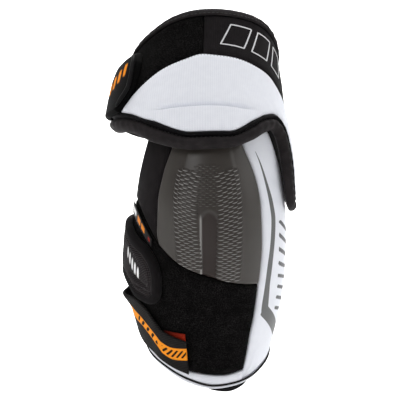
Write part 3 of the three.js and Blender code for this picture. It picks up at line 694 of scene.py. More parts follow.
def loop_pile_cloth():
    """Brushed nylon loop pile: near black, no highlights, mottled where the pile lies over."""
    tuft, patch, nap = 0.9, 9.0, 0.35
    material, tree, shader = new_finish(
        "loop_pile", Roughness=0.97, Specular_IOR_Level=0.03, Sheen_Weight=0.01, Sheen_Roughness=0.6
    )
    place = add_node(tree, "ShaderNodeTexCoord").outputs["Object"]
    tufts = add_node(tree, "ShaderNodeTexNoise", {"Vector": place, "Scale": 1 / (tuft * MM), "Detail": 4.0})
    lie = add_node(tree, "ShaderNodeTexNoise", {"Vector": place, "Scale": 1 / (patch * MM), "Detail": 3.0})
    tips = add_node(tree, "ShaderNodeMapRange", {"Value": tufts, "From Min": 0.42, "From Max": 0.68})
    share = add_node(tree, "ShaderNodeMath", {0: tips, 1: lie}, operation="MULTIPLY")
    coloured(tree, shader, share, "#030303", "#2c2a2a", tufts, nap)
    return material


def pile_on_cloth():
    """A tree that stands small loops of fibre all over a cloth, away from its rim."""
    kinds = {"Cloth": "Geometry", "Finish": "Material", "Seed": "Int"}
    tree, given = new_growth("pile_on_cloth", kinds, ("Apart", "Radius", "Fibre", "Clear"))
    rim = add_node(tree, "GeometryNodeInputNamedAttribute", {"Name": "rim"}, data_type="FLOAT")
    inside = add_node(tree, "ShaderNodeMath", {0: rim, 1: given["Clear"]}, operation="GREATER_THAN")
    sowing = {"Mesh": given["Cloth"], "Distance Min": given["Apart"], "Seed": given["Seed"]}
    sowing.update({"Density Max": PILE_MOST, "Density Factor": inside})
    sown = add_node(tree, "GeometryNodeDistributePointsOnFaces", sowing, distribute_method="POISSON").outputs
    any_way = {"Min": 0.0, "Max": 2 * math.pi, "Seed": given["Seed"]}
    spin = add_node(tree, "FunctionNodeRandomValue", any_way, data_type="FLOAT").outputs["Value"]
    turn = add_node(tree, "FunctionNodeAxisAngleToRotation", {"Axis": (0, 0, 1), "Angle": spin})
    both = {"Rotation": sown["Rotation"], "Rotate By": turn}
    turned = add_node(tree, "FunctionNodeRotateRotation", both, rotation_space="LOCAL")
    half_round = {"Resolution": 4, "Radius": given["Radius"], "Sweep Angle": math.pi}
    arc = add_node(tree, "GeometryNodeCurveArc", half_round)
    fibre = add_node(tree, "GeometryNodeCurvePrimitiveCircle", {"Resolution": 3, "Radius": given["Fibre"]})
    loop = add_node(tree, "GeometryNodeCurveToMesh", {"Curve": arc, "Profile Curve": fibre})
    stood = add_node(tree, "GeometryNodeTransform", {"Geometry": loop, "Rotation": (math.pi / 2, 0, 0)})
    setting = {"Points": sown["Points"], "Instance": stood, "Rotation": turned}
    set_down = add_node(tree, "GeometryNodeInstanceOnPoints", setting)
    real = add_node(tree, "GeometryNodeRealizeInstances", {"Geometry": set_down})
    finished = add_node(tree, "GeometryNodeSetMaterial", {"Geometry": real, "Material": given["Finish"]})
    add_node(tree, "NodeGroupOutput", {"Made": finished})
    return tree


def raise_pile(name, pad):
    """Loop pile on the outer face of a closed pad, whose points are the second half of the pad's."""
    half = len(pad.data.vertices) // 2
    points = [vertex.co for vertex in pad.data.vertices[half:]]
    quads = [list(face.vertices) for face in pad.data.polygons if min(face.vertices) >= half]
    rim = np.zeros(2 * half, np.float32)
    pad.data.attributes["rim"].data.foreach_get("value", rim)
    face = bpy.data.meshes.new("outside")
    face.from_pydata(points, [], (np.array(quads) - half).tolist())
    face.attributes.new("rim", "FLOAT", "POINT").data.foreach_set("value", rim[half:])
    sizes = {size.capitalize(): PILE[size] * MM for size in ("apart", "radius", "fibre")}
    pile = grown(name, face, pile_tree, Finish=pile_cloth, Seed=PILE["seed"], Clear=PILE["clear"], **sizes)
    dress(pile)


pile_cloth = loop_pile_cloth()
pile_tree = pile_on_cloth()
loop_cell = (curve(LOOP_LEFT), white_seam, curve(LOOP_LOW), loop_top)
loop_pad = padded_panel("loop_pad", body, loop_cell, columns=100, rows=64, pressure=4, most=1.0)
dress(loop_pad, pile_cloth, "loop_panel")
raise_pile("loop_pad_pile", loop_pad)


# White side panel: the long pad from the top of the body to the wrist, on the cap's right.
# Foam under smooth white synthetic leather, polyurethane on a knit backing, printed before it is cut.
# Its print is a grey stripe that widens downwards and turns at the forearm, and a row of slanted dashes.
WHITE_TOP = BODY_TOP - 2
WHITE_RIGHT = [  # height, angle
    (-118, 112), (-95, 122), (-50, 122), (-15, 112), (-2, 90), (20, 76), (35, 63), (46, 53), (58, 40),
]
STRIPE = [  # height, angles of its left and right side
    (-78, 44.5, 55),
    (-71, 43.5, 51.5),
    (-53, 45, 51),
    (-38, 47, 53),
    (-28.5, 49, 54.5),
    (-19.5, 50.5, 56),
    (-8.5, 51.5, 57),
    (1, 49.5, 54.5),
    (13.5, 45, 48),
    (25, 39.5, 41),
    (31, 35.5, 36),
]
STRIPE_LEG = {"start": (49.5, -76), "end": (76, -102.5), "half": 4.9}
DASHES = {"angle": 72, "half": 10.5, "low": -82, "high": -10, "pitch": 9.5, "share": 0.34, "slant": 0.45}


def printed(tree, mark, edge=0.12):
    """The share of a mark that shows: none outside it, all inside, across a soft edge in millimetres."""
    inside = add_node(tree, "ShaderNodeAttribute", attribute_name=mark).outputs["Fac"]
    return add_node(tree, "ShaderNodeMapRange", {"Value": inside, "From Min": -edge, "From Max": edge})


def synthetic_leather(name, inks=()):
    """Coated polyurethane, white, softly glossy with a fine pebbled grain. Each ink is a mark's name and
    its colour, printed on the coat."""
    pebble, depth, cloud = 0.9, 0.03, 12
    material, tree, shader = new_finish(name, IOR=1.48, Specular_IOR_Level=0.4)
    place = add_node(tree, "ShaderNodeTexCoord").outputs["Object"]
    pebbles = add_node(tree, "ShaderNodeTexVoronoi", {"Vector": place, "Scale": 1 / (pebble * MM)})
    clouds = add_node(tree, "ShaderNodeTexNoise", {"Vector": place, "Scale": 1 / (cloud * MM), "Detail": 3.0})
    polish = add_node(tree, "ShaderNodeMapRange", {"Value": clouds, "To Min": 0.4, "To Max": 0.58})
    over = [(printed(tree, mark), colour) for mark, colour in inks]
    coloured(tree, shader, clouds, "#dadce4", "#e9ebf1", pebbles, depth, over)
    feed(tree, shader, {"Roughness": polish})
    return material


def stripe_ink(phi, s):
    """How far inside the printed stripe a place is, in millimetres, below 0 outside it."""
    left, right = (side(s) for side in curves(STRIPE, 1, 2))
    beside = np.minimum(phi - left, right - phi) * DEGREE
    upper = np.minimum.reduce([beside, s - STRIPE[0][0], STRIPE[-1][0] - s])
    start, end = (np.array(STRIPE_LEG[name]) * (DEGREE, 1) for name in ("start", "end"))
    length = np.linalg.norm(end - start)
    way = (end - start) / length
    run = (phi * DEGREE - start[0]) * way[0] + (s - start[1]) * way[1]
    off = np.abs((s - start[1]) * way[0] - (phi * DEGREE - start[0]) * way[1])
    leg = np.minimum.reduce([STRIPE_LEG["half"] - off, run + STRIPE_LEG["half"], length - run])
    return np.maximum(upper, leg)


def slanted(run, aside, pitch, share, slant):
    """How far inside a row of slanted dashes a place is. run goes along the row and aside away from it."""
    part = np.mod((run + slant * aside) / pitch, 1)
    return (share / 2 - np.abs(part - 0.5)) * pitch


def side_print(phi, s):
    """The two marks on the white panel."""
    across = (phi - DASHES["angle"]) * DEGREE
    dash = slanted(s, across, DASHES["pitch"], DASHES["share"], DASHES["slant"])
    ends = [DASHES["half"] - np.abs(across), s - DASHES["low"], DASHES["high"] - s]
    return {"stripe": stripe_ink(phi, s), "dashes": np.minimum.reduce([dash, *ends])}


white_cell = (white_seam, curve(WHITE_RIGHT), piping, always(WHITE_TOP))
white_pad = padded_panel(
    "white_pad", body, white_cell, columns=84, rows=150, pressure=4, most=1.0, ink=side_print
)
printed_leather = synthetic_leather("printed_leather", [("stripe", "#5d5e5e"), ("dashes", "#3f3f42")])
dress(white_pad, printed_leather, "white_panel")


# Wrist end: a white strip under the loop panel, a thin black piping and a narrow white hem.
# The strip and the hem are the same synthetic leather; the piping is cord in black tape, sewn between.
WRIST_LEFT = -118
WRIST_RIGHT = 112
WRIST_ROLL = {"radius": 3, "kept": 0.75}
HEM_ROLL = {"radius": 2.4, "kept": 0.6}
PIPING = {"radius": 0.75, "depth": 13.3, "sides": 8, "steps": 220}
WAVE = 0.314  # how far apart the bands of a wave texture are at a scale of 1


def tube(name, rings, around, along, **marks):
    """A closed tube through rings of points in millimetres. around and along give its flat cloth."""
    steps, sides = rings.shape[:2]
    number = np.arange(steps * sides).reshape(steps, sides)
    beside = np.roll(number, -1, axis=1)
    faces = np.stack([number[:-1], beside[:-1], beside[1:], number[1:]], -1).reshape(-1, 4).tolist()
    faces += [number[0, ::-1].tolist(), number[-1].tolist()]
    uv = np.stack([np.broadcast_to(around, (steps, sides)), np.broadcast_to(along, (steps, sides))], -1)
    return new_piece(name, rings.reshape(-1, 3), faces, uv.reshape(-1, 2), marks)


def ring_tube(name, path, radius, sides):
    """A round tube along a path of points in millimetres, of one radius or of one at each point."""
    ahead = np.gradient(path, axis=0)
    ahead /= np.linalg.norm(ahead, axis=1, keepdims=True)
    up = np.cross(ahead, np.roll(ahead, 1, axis=1))
    up /= np.linalg.norm(up, axis=1, keepdims=True)
    out = np.cross(ahead, up)
    turn = np.linspace(0, 2 * np.pi, sides, endpoint=False)[None, :, None]
    radii = np.broadcast_to(radius, len(path))[:, None, None]
    rings = path[:, None] + radii * (np.cos(turn) * out[:, None] + np.sin(turn) * up[:, None])
    run = np.concatenate([[0], np.cumsum(np.linalg.norm(np.diff(path, axis=0), axis=1))])
    return tube(name, rings, np.arange(sides)[None, :], run[:, None])


def stretch_binding():
    """Brushed stretch tape: warm black with a close diagonal rib, deeper black where it is turned in."""
    rib, patch, depth = 0.9, 8.0, 0.1
    material, tree, shader = new_finish(
        "stretch_binding", Roughness=0.75, Specular_IOR_Level=0.1, Sheen_Weight=0.03, Sheen_Roughness=0.35
    )
    cloth = add_node(tree, "ShaderNodeUVMap", uv_map="cloth")
    close = {"Vector": cloth, "Scale": WAVE / (rib * MM), "Distortion": 0.6}
    ribs = add_node(tree, "ShaderNodeTexWave", close, bands_direction="DIAGONAL").outputs["Fac"]
    blotch = add_node(tree, "ShaderNodeTexNoise", {"Vector": cloth, "Scale": 1 / (patch * MM), "Detail": 4.0})
    turned = add_node(tree, "ShaderNodeAttribute", attribute_name="turned").outputs["Fac"]
    coloured(tree, shader, blotch, "#151314", "#2e2a2b", ribs, depth, [(turned, "#060507")])
    return material


leather = synthetic_leather("white_leather")
wrist_cell = (always(WRIST_LEFT), white_seam, piping, curve(LOOP_LOW))
hem_cell = (always(WRIST_LEFT), always(WRIST_RIGHT), hem_edge, piping)
wrist_pad = padded_panel(
    "wrist_pad", body, wrist_cell, columns=90, rows=16, pressure=3, most=0.5, roll=WRIST_ROLL
)
hem = padded_panel("hem_roll", body, hem_cell, columns=130, rows=14, pressure=3, most=0.3, roll=HEM_ROLL)
dress(wrist_pad, leather, "wrist_panel")
dress(hem, leather, "hem_band")

binding_tape = stretch_binding()
around = np.linspace(WRIST_LEFT, WRIST_RIGHT, PIPING["steps"])
piping_path = on_arm(body, around, piping(around), PIPING["depth"])
wrist_piping = ring_tube("wrist_piping", piping_path, PIPING["radius"], PIPING["sides"])
dress(wrist_piping, binding_tape)


# Label: a small woven satin label, folded once, with one long side caught in the seam over the loop panel.
# Its ends are cut straight, and it is woven with white, orange and red marks.
LABEL = {"thickness": 0.8, "floor": PANEL_TOP + 0.3, "from": -88, "to": -46, "near": 9.5, "far": 5}
LABEL_MARKS = [  # angles from and to, shares up the label from and to, colour
    (-79, -70, 0.3, 0.75, "#f2f2f2"),
    (-66.5, -61, 0.25, 0.8, "#e8871e"),
    (-59.5, -54.5, 0.25, 0.8, "#e8871e"),
    (-50, -47.8, 0.3, 0.7, "#8c1d12"),
]


def boxed_marks(phi, share, marks, tall=6.0):
    """For each mark, how far inside its box a place is, in degrees, below 0 outside it."""
    return {
        f"mark{n}": np.minimum.reduce([phi - start, end - phi, (share - low) * tall, (high - share) * tall])
        for n, (start, end, low, high, _) in enumerate(marks)
    }


def mark_inks(tree, marks):
    """Each boxed mark's share that shows, and its colour."""
    return [(printed(tree, f"mark{n}"), mark[-1]) for n, mark in enumerate(marks)]


def woven_satin(marks):
    """Damask label cloth: fine shiny weft in the ground colour, with its marks woven in."""
    thread, depth = 0.55, 0.05
    surface = {"Roughness": 0.55, "Specular_IOR_Level": 0.2, "Sheen_Weight": 0.02}
    material, tree, shader = new_finish("label_satin", **surface)
    cloth = add_node(tree, "ShaderNodeUVMap", uv_map="cloth")
    close = {"Vector": cloth, "Scale": WAVE / (thread * MM)}
    weft = add_node(tree, "ShaderNodeTexWave", close, bands_direction="Y").outputs["Fac"]
    coloured(tree, shader, weft, "#0d0d0d", "#1d1c1c", weft, depth, mark_inks(tree, marks))
    return material


def label_low(phi):
    """Height of the label's lower edge, which runs closer to the seam at its right end."""
    share = (phi - LABEL["from"]) / (LABEL["to"] - LABEL["from"])
    return loop_top(phi) - mix(LABEL["near"], LABEL["far"], share)


phi, s = places_in((always(LABEL["from"]), always(LABEL["to"]), label_low, loop_top), columns=60, rows=24)
up_label = (s - label_low(phi)) / (loop_top(phi) - label_low(phi))
inner, outer = (on_arm(body, phi, s, LABEL["floor"] + extra) for extra in (0, LABEL["thickness"]))
label = closed_wall("woven_label", inner, outer, phi, s, **boxed_marks(phi, up_label, LABEL_MARKS))
dress(label, woven_satin(LABEL_MARKS), "cap_label")


# Elbow strap: elastic webbing that passes behind the arm just below the elbow, sewn to the right edge
# of the pad. Its left end carries an oval grip, foam in soft-touch fabric with a rolled rim, pressed
# onto the loop pile.
WEB = 2.1
WEB_EDGE = {"radius": 1.2, "kept": 0.4}
WEB_CROWDING = 0.5
BACK_DIP = {"start": 129, "end": 178, "depth": 1}
ELBOW_STRAP = [  # angle, height of the middle, half-width; past 180 degrees it is behind the left side
    (110, -43, 19),
    (180, -38, 19),
    (236, -32, 20),
    (256, -30.5, 21),
]
GRIP = [  # the same for the oval grip
    (-104, -30.5, 22.5),
    (-90, -33.2, 23.2),
    (-79, -35.5, 21),
    (-70, -38.8, 20.9),
    (-61, -43, 22),
    (-50, -45.2, 21),
    (-43.5, -47, 18.5),
    (-38.5, -47.5, 13),
    (-36, -47.5, 6),
]
GRIP_TOP = 20.3
GRIP_ROLL = {"radius": 3.2, "kept": 0.3}
GRIP_GROOVE = {"inset": 8.2, "half": 1.4, "sunk": 1.6, "held": 0.8}
GRIP_FOLDS = [  # angle and height of one end, of the other end, depth and half-width
    ((-66, -44), (-43, -51.5), 2.6, 1.7),
    ((-60, -52.5), (-41, -55.5), 2.2, 1.5),
]
GRIP_MARKS = [  # angles from and to, shares up the grip from and to, colour
    (-70, -67.6, 0.6, 0.76, "#eeeeee"),
    (-66.4, -64, 0.57, 0.73, "#eeeeee"),
    (-62.8, -60.4, 0.54, 0.7, "#eeeeee"),
    (-59.2, -56.8, 0.51, 0.67, "#eeeeee"),
    (-55.6, -53.2, 0.48, 0.64, "#eeeeee"),
]


def strap_cell(rows):
    """The cell that a strap covers, from a table of its angles, middles and half-widths."""
    middle, half = curves(rows, 1, 2)
    ends = always(rows[0][0]), always(rows[-1][0])
    return (*ends, lambda phi: middle(phi) - half(phi), lambda phi: middle(phi) + half(phi))


def crossed_threads(tree, along, across):
    """Heights of the threads that run along a cloth and of those across it, by how far apart they are."""
    cloth = add_node(tree, "ShaderNodeUVMap", uv_map="cloth")
    threads = []
    for apart, way in ((along, "Y"), (across, "X")):
        close = {"Vector": cloth, "Scale": WAVE / (apart * MM)}
        threads.append(add_node(tree, "ShaderNodeTexWave", close, bands_direction=way).outputs["Fac"])
    return add_node(tree, "ShaderNodeMath", {0: threads[0], 1: threads[1]}, operation="MULTIPLY")


def elastic_webbing(name, banded=False):
    """Woven elastic: rubber cores in black nylon, ribbed along its length, closely barred across. Ribs are
    drawn 1.6 mm wide. Banded, it has an orange band with slanted black dashes along it."""
    rib, bar, depth = 1.6, 0.8, 0.16
    material, tree, shader = new_finish(name, Roughness=0.8, Specular_IOR_Level=0.08, Sheen_Weight=0.02)
    height = crossed_threads(tree, rib, bar)
    inks = []
    if banded:
        shades = {"Fac": height, "Color1": linear("#f08a0c"), "Color2": linear("#ffb347")}
        orange = add_node(tree, "ShaderNodeMixRGB", shades)
        inks = [(printed(tree, "band"), orange), (printed(tree, "dashes"), "#1c1610")]
    coloured(tree, shader, height, "#121111", "#302d2b", height, depth, inks)
    return material


def woven_cover(name, dark, light, marks):
    """Tight plain weave of textured nylon over foam: black, matt, with a grainy glint painted into its colour
    on the yarns' crests, and printed marks.
    Its yarns are drawn 1 mm wide, about twice the real ones, so that they show. The rolled rim is smooth."""
    yarn, depth, plain, woven = 1.0, 0.1, 5.5, 8.5
    material, tree, shader = new_finish(name, Roughness=0.85, Specular_IOR_Level=0.06, Sheen_Weight=0.02)
    yarns = crossed_threads(tree, yarn, yarn)
    rim = add_node(tree, "ShaderNodeAttribute", attribute_name="rim").outputs["Fac"]
    inner = add_node(tree, "ShaderNodeMapRange", {"Value": rim, "From Min": plain, "From Max": woven})
    height = add_node(tree, "ShaderNodeMath", {0: yarns, 1: inner}, operation="MULTIPLY")
    # The yarns' crests are painted lighter as a glint.
    coloured(tree, shader, height, dark, light, height, depth, mark_inks(tree, marks))
    return material


def sheet(name, node, inner, outer, phi, s, finish, rests_on, **marks):
    """A sheet of webbing between an inner and an outer face, given its finish; it hides the solid that it
    stands for.
    """
    piece = dress(closed_wall(name, inner, outer, phi, s, **marks), finish, node)


def strap(name, node, form, rows, seat, finish, rests_on, columns, lines, ink=None):
    """A strap that lies on a seat and sinks behind the arm. ink gives the marks that are woven into it."""
    phi, s = places_in(strap_cell(rows), columns, lines, WEB_CROWDING)
    behind = fade(BACK_DIP["start"], BACK_DIP["end"], 180 - np.abs(180 - phi))
    low = mix(seat(phi, s), BACK_DIP["depth"], behind)
    thin = WEB / 2 * (1 - rolled(from_rim(on_arm(form, phi, s, low)), **WEB_EDGE))
    inner, outer = on_arm(form, phi, s, low + thin), on_arm(form, phi, s, low + WEB - thin)
    marks = ink(phi, s) if ink else {}
    sheet(name, node, inner, outer, phi, s, finish, rests_on, **marks)


def fold_share(phi, s, start, end, half):
    """1 along the bottom of a fold between two places, dying out at its ends, 0 away from it."""
    to_mm = np.array([DEGREE, 1.0])
    way = (np.array(end) - start) * to_mm
    off = (np.stack([phi, s], -1) - start) * to_mm
    along = np.clip(off @ way / (way @ way), 0, 1)
    aside = np.linalg.norm(off - along[..., None] * way, axis=-1)
    return np.sqrt(np.sin(np.pi * along)) * bell(aside, half)


webbing = elastic_webbing("elastic_webbing")
on_panels = always(PANEL_TOP + LAYER_GAP)
body_pads = ["white_pad", "loop_pad"]
strap(
    "strap_of_elbow", "elbow_strap", body, ELBOW_STRAP, on_panels, webbing, body_pads, columns=120, lines=24
)

phi, s = places_in(strap_cell(GRIP), columns=90, rows=72)
low = on_panels(phi)
rim = from_rim(on_arm(body, phi, s, GRIP_TOP))
groove = bell(rim - GRIP_GROOVE["inset"], GRIP_GROOVE["half"])
folds = sum(depth * fold_share(phi, s, start, end, half) for start, end, depth, half in GRIP_FOLDS)
thick = (GRIP_TOP - GRIP_GROOVE["sunk"] * groove - folds - low) * rolled(rim, **GRIP_ROLL)
held = np.maximum(groove, folds) > GRIP_GROOVE["held"]
cover = puffed(on_arm(body, phi, s, low + thick), pressure=3, most=0.8, held=held)
middle, half = (side(phi) for side in curves(GRIP, 1, 2))
marks = boxed_marks(phi, (s - middle + half) / (2 * half), GRIP_MARKS)
grip = closed_wall("strap_grip", on_arm(body, phi, s, low), cover, phi, s, rim=rim, **marks)
grip_weave = woven_cover("grip_weave", "#151314", "#4e494a", GRIP_MARKS)
dress(grip, grip_weave, "elbow_strap_pad")


# Forearm strap: wider ribbed elastic round the forearm, with an orange band woven along it and a cut end.
# Its end sticks to the loop panel by a patch of red hook tape, which shows along its top edge.
FOREARM_STRAP = [  # angle, height of the middle, half-width
    (110, -86, 17),
    (180, -83, 17),
    (236, -85, 17),
    (268, -88.5, 16.8),
    (300, -90.7, 21.2),
    (309, -93.8, 20.5),
    (317, -98.2, 18.5),
    (323, -103, 15.8),
    (342, -108.5, 15.6),
]
ORANGE_BAND = [  # angle, heights of its lower and upper edge
    (240, -88, -80),
    (280, -88, -80),
    (297, -90, -81.5),
    (309, -97.5, -88),
    (316, -103, -92.5),
    (320.5, -108.5, -97.5),
    (330, -111.5, -100.5),
    (343, -110, -99),
]
BAND_DASHES = [  # angles from and to, pitch, inked share of it, slant, and how far from the band's edges
    (294, 317, 5.4, 0.42, -0.6, 1.0),
    (320.5, 341.5, 4.6, 0.48, -0.9, 2.0),
]
HOOK = 1.2
HOOK_RISE = {"start": 306, "end": 318}
STRAP_CURL = {"angle": 274, "half": 9, "reach": 14, "rise": 5.5}
HOOK_PATCH = {"from": -37, "to": -19, "low": -104, "high": -87}


def forearm_seat(phi, s):
    """What the strap lies on: the panels, then the hook patch, and air where its upper edge curls out."""
    hooked = fade(HOOK_RISE["start"], HOOK_RISE["end"], phi) * (HOOK + LAYER_GAP)
    upper = sum(side(phi) for side in curves(FOREARM_STRAP, 1, 2))
    beside = bell(phi - STRAP_CURL["angle"], STRAP_CURL["half"])
    curled = STRAP_CURL["rise"] * beside * fade(upper - STRAP_CURL["reach"], upper, s)
    return on_panels(phi) + hooked + curled


def band_ink(phi, s):
    """The orange band and its dashes, on the strap's outer face alone."""
    bare = dashes = np.full(phi.shape, -1.0)
    low, high = (side(phi) for side in curves(ORANGE_BAND, 1, 2))
    band = np.minimum.reduce([s - low, high - s, phi - ORANGE_BAND[0][0]])
    for start, end, pitch, share, slant, clear in BAND_DASHES:
        dash = slanted(phi * DEGREE, s - (low + high) / 2, pitch, share, slant)
        dashes = np.maximum(dashes, np.minimum.reduce([dash, band - clear, phi - start, end - phi]))
    return {"band": np.stack([bare, band]), "dashes": np.stack([bare, dashes])}


def hook_tape():
    """Hook tape: moulded nylon hooks on a woven ground, red going to orange at its cut corner."""
    apart, depth = 1.3, 0.4
    material, tree, shader = new_finish("hook_tape", Roughness=0.7, Specular_IOR_Level=0.12)
    cloth = add_node(tree, "ShaderNodeUVMap", uv_map="cloth")
    hooks = add_node(tree, "ShaderNodeTexVoronoi", {"Vector": cloth, "Scale": 1 / (apart * MM)})
    run = add_node(tree, "ShaderNodeSeparateXYZ", {"Vector": cloth}).outputs["X"]
    start, end = (HOOK_PATCH[side] * DEGREE * MM for side in ("from", "to"))
    along = add_node(tree, "ShaderNodeMapRange", {"Value": run, "From Min": start, "From Max": end})
    coloured(tree, shader, along, "#220301", "#861d05", hooks, depth)
    return material


banded = elastic_webbing("banded_webbing", banded=True)
strap(
    "strap_of_forearm", "forearm_strap", body, FOREARM_STRAP, forearm_seat, banded, body_pads,
    columns=190, lines=30, ink=band_ink,
)
phi, s = places_in([always(HOOK_PATCH[side]) for side in ("from", "to", "low", "high")], columns=40, rows=36)
inner, outer = (on_arm(body, phi, s, on_panels(phi) + extra) for extra in (0, HOOK))
dress(closed_wall("hook_patch", inner, outer, phi, s), hook_tape(), "forearm_strap_hook")


# Joining gusset: a plain sheet of elastic inside the pad that carries the guard on the body.
# Woven elastic, sewn to the top of the body's liner and to the inside of the guard's.
GUARD_FORM = [  # height, half-widths left, right, front and back
    (-25, 72, 63, 71, 56),
    (0, 72, 62.3, 71, 56),
    (25, 72, 61, 70.5, 56),
    (50, 73, 57.5, 67.5, 55),
    (75, 69.5, 52.5, 62, 53),
    (100, 61.5, 48.5, 55.5, 50),
    (125, 53, 45.6, 49, 46),
    (150, 46.5, 43.8, 44, 44),
]
GUSSET = {"half_angle": 28, "columns": 40, "on_body": (61.5, 68), "on_guard": (84, 98)}
GUSSET_ROWS = (4, 23, 6)  # on the body, between, and on the guard
guard = curves(GUARD_FORM, 1, 2, 3, 4)


def gusset_face(extra):
    """One face of the gusset: a sheet that runs straight from its sewn strip on the body to the guard's."""
    on_body = on_arm(body, gusset_phi, np.array(GUSSET["on_body"])[:, None], LINER + LAYER_GAP + extra)
    on_guard = on_arm(guard, gusset_phi, np.array(GUSSET["on_guard"])[:, None], extra - LAYER_GAP - WEB)
    knots = np.concatenate([on_body, on_guard])
    strips = [np.linspace(n, n + 1, rows, endpoint=False) for n, rows in enumerate(GUSSET_ROWS)]
    along = np.concatenate([*strips, [len(strips)]])
    below = np.minimum(along.astype(int), len(strips) - 1)
    return mix(knots[below], knots[below + 1], (along - below)[:, None, None])


gusset_phi = np.linspace(-GUSSET["half_angle"], GUSSET["half_angle"], GUSSET["columns"])[None, :]
inner, outer = gusset_face(0), gusset_face(WEB)
phi = np.broadcast_to(gusset_phi, inner.shape[:2])
run = np.cumsum(np.linalg.norm(np.diff(inner, axis=0, prepend=inner[:1]), axis=-1), axis=0)
sheet("gusset_sheet", "joining_gusset", inner, outer, phi, run, webbing, ["liner_of_body", "guard_lining"])


# Guard liner: the inside of the bicep guard, which wraps the upper arm and flares over the elbow.
# The same foam and brushed nylon as the body's, cut to the guard's outline and bound round its edge.
GUARD_LINER = 4.5
GUARD_LEFT = -113
GUARD_RIGHT = 113.5
RIM_HEIGHT = 8
TOP_EDGE = [  # angle, height
    (-121, 119), (-90, 124), (-70, 131), (-50, 137), (-30, 144), (-10, 147), (10, 147.5), (35, 147.5),
    (50, 146.8), (62, 144.8), (75, 141), (90, 135), (121, 124),
]
GUARD_EDGE = [  # angle and height of the edge, then of the seam above it, from left end to right end
    (-121, 110.2, -113, 110.8),
    (-122, 92, -113, 95),
    (-118, 76, -111, 87),
    (-105, 66.5, -103, 80),
    (-90, 62, -90, 77),
    (-70, 51, -70, 68),
    (-51, 42, -52, 58),
    (-33, 32.5, -34, 45),
    (-10, 27.5, -10, 36),
    (12, 28.5, 12, 36.5),
    (30, 34, 29, 44),
    (43, 41, 42, 53.5),
    (52, 44.5, 53, 58),
    (59, 41, 63, 54.5),
    (63, 32, 70, 44),
    (66, 18, 74.5, 30),
    (70, 6, 77.5, 17),
    (77, -2, 82, 8),
    (88, -5, 89, 6),
    (100, -1, 98, 10),
    (111, 10, 104, 20),
    (119, 30, 111, 36),
    (122, 60, 113.5, 62),
    (121, 115.2, 113.5, 116.4),
]
top_edge = curve(TOP_EDGE)
guard_seam = curve([(seam_phi, seam_s) for _, _, seam_phi, seam_s in GUARD_EDGE[1:-1]])


def top_seam(phi):
    """Height of the seam under the guard's top rim."""
    return top_edge(phi) - RIM_HEIGHT


phi, s = places_in((always(GUARD_LEFT), always(GUARD_RIGHT), guard_seam, top_seam), columns=150, rows=44)
inner, outer = (on_arm(guard, phi, s, depth) for depth in (0, GUARD_LINER))
dress(closed_wall("guard_lining", inner, outer, phi, s), nylon, "guard_liner")


# Guard white panel: the crescent across the front of the guard and down its right wing.
# Thick foam under white spacer knit, with one soft fold across it where the pad bends, and its lower
# edge gathered a little into the binding.
BAND_SEAM = [  # angle, height
    (-65.5, 63), (-60, 68), (-54.6, 73), (-43, 83), (-31, 92), (-17, 98), (-5, 102), (4, 101), (19.5, 100),
    (37, 97), (50, 94), (62.5, 87.5), (71, 83), (90, 74), (113.5, 68),
]
GUARD_THICKNESS = [  # height, thickness
    (0, 7.3), (25, 8.5), (50, 9.5), (75, 10.5), (100, 12),
]
WHITE_TIP = -63
WHITE_GRID = {"columns": 170, "rows": 140}
WHITE_ROLL = {"radius": 4, "kept": 0.6}
WHITE_SLACK = 0.2
CREASE = {"height": 53.8, "left": -36, "right": 35, "fade": 12, "depth": 4.2, "held": 1.2}
CREASE_REACH = {"wide": 6.0, "sharp": 2.2, "below": 0.8}
CREASE_SHARPNESS = 0.75
GATHER = {"pitch": 9.0, "depth": 0.5, "reach": 9.0, "from_rim": 3, "sway": 2, "sway_angle": 9}
band_seam = curve(BAND_SEAM)
guard_thickness = curve(GUARD_THICKNESS)
guard_floor = GUARD_LINER + LAYER_GAP
phi, s = places_in((always(WHITE_TIP), always(GUARD_RIGHT), guard_seam, band_seam), **WHITE_GRID)
present = fade(CREASE["left"], CREASE["left"] + CREASE["fade"], phi)
present = present * fade(CREASE["right"], CREASE["right"] - CREASE["fade"], phi)
over = s - CREASE["height"]
wide, sharp, below = (bell(over, reach) for reach in CREASE_REACH.values())
fold = present * np.where(over > 0, mix(wide, sharp, CREASE_SHARPNESS), below)
high = guard_thickness(s) - WHITE_SLACK
rim = from_rim(on_arm(guard, phi, s, high))
sway = GATHER["sway"] * np.sin(phi / GATHER["sway_angle"])
waves = np.sin(2 * np.pi * phi * DEGREE / GATHER["pitch"] + sway)
up_share = crowded_ends(WHITE_GRID["rows"], EDGE_CROWDING)[:, None]
up = up_share * np.maximum(band_seam(phi) - guard_seam(phi), 0)
gathers = GATHER["depth"] * waves * np.exp(-up / GATHER["reach"]) * fade(0, GATHER["from_rim"], rim)
depth = mix(guard_floor, high, rolled(rim, **WHITE_ROLL)) - CREASE["depth"] * fold + gathers
held = np.abs(over) < CREASE["held"] * present
cover = puffed(on_arm(guard, phi, s, depth), pressure=4, most=1.2, held=held)
guard_white = closed_wall("guard_white_pad", on_arm(guard, phi, s, guard_floor), cover, phi, s)
spacer_knit = rib_knit("white_spacer_knit", "#e4e6ee", "#f3f5fb", relief_mm=0.08)
dress(guard_white, spacer_knit, "guard_white_panel")


# Guard top panels: the black band over the white one, brushed loop pile on the left, where the guard's
# strap fastens, and rib knit on the right. Both are thin foam pads that meet at an upright seam.
LOOP_KNIT_SEAM = -5


def band_low(phi):
    """Height of the black band's lower edge: the white panel's seam, or the guard's own past its tip."""
    return np.maximum(guard_seam(phi), band_seam(phi))


def guard_outside(phi, s):
    """Depth of the outer face of the guard's panels."""
    return guard_thickness(s)


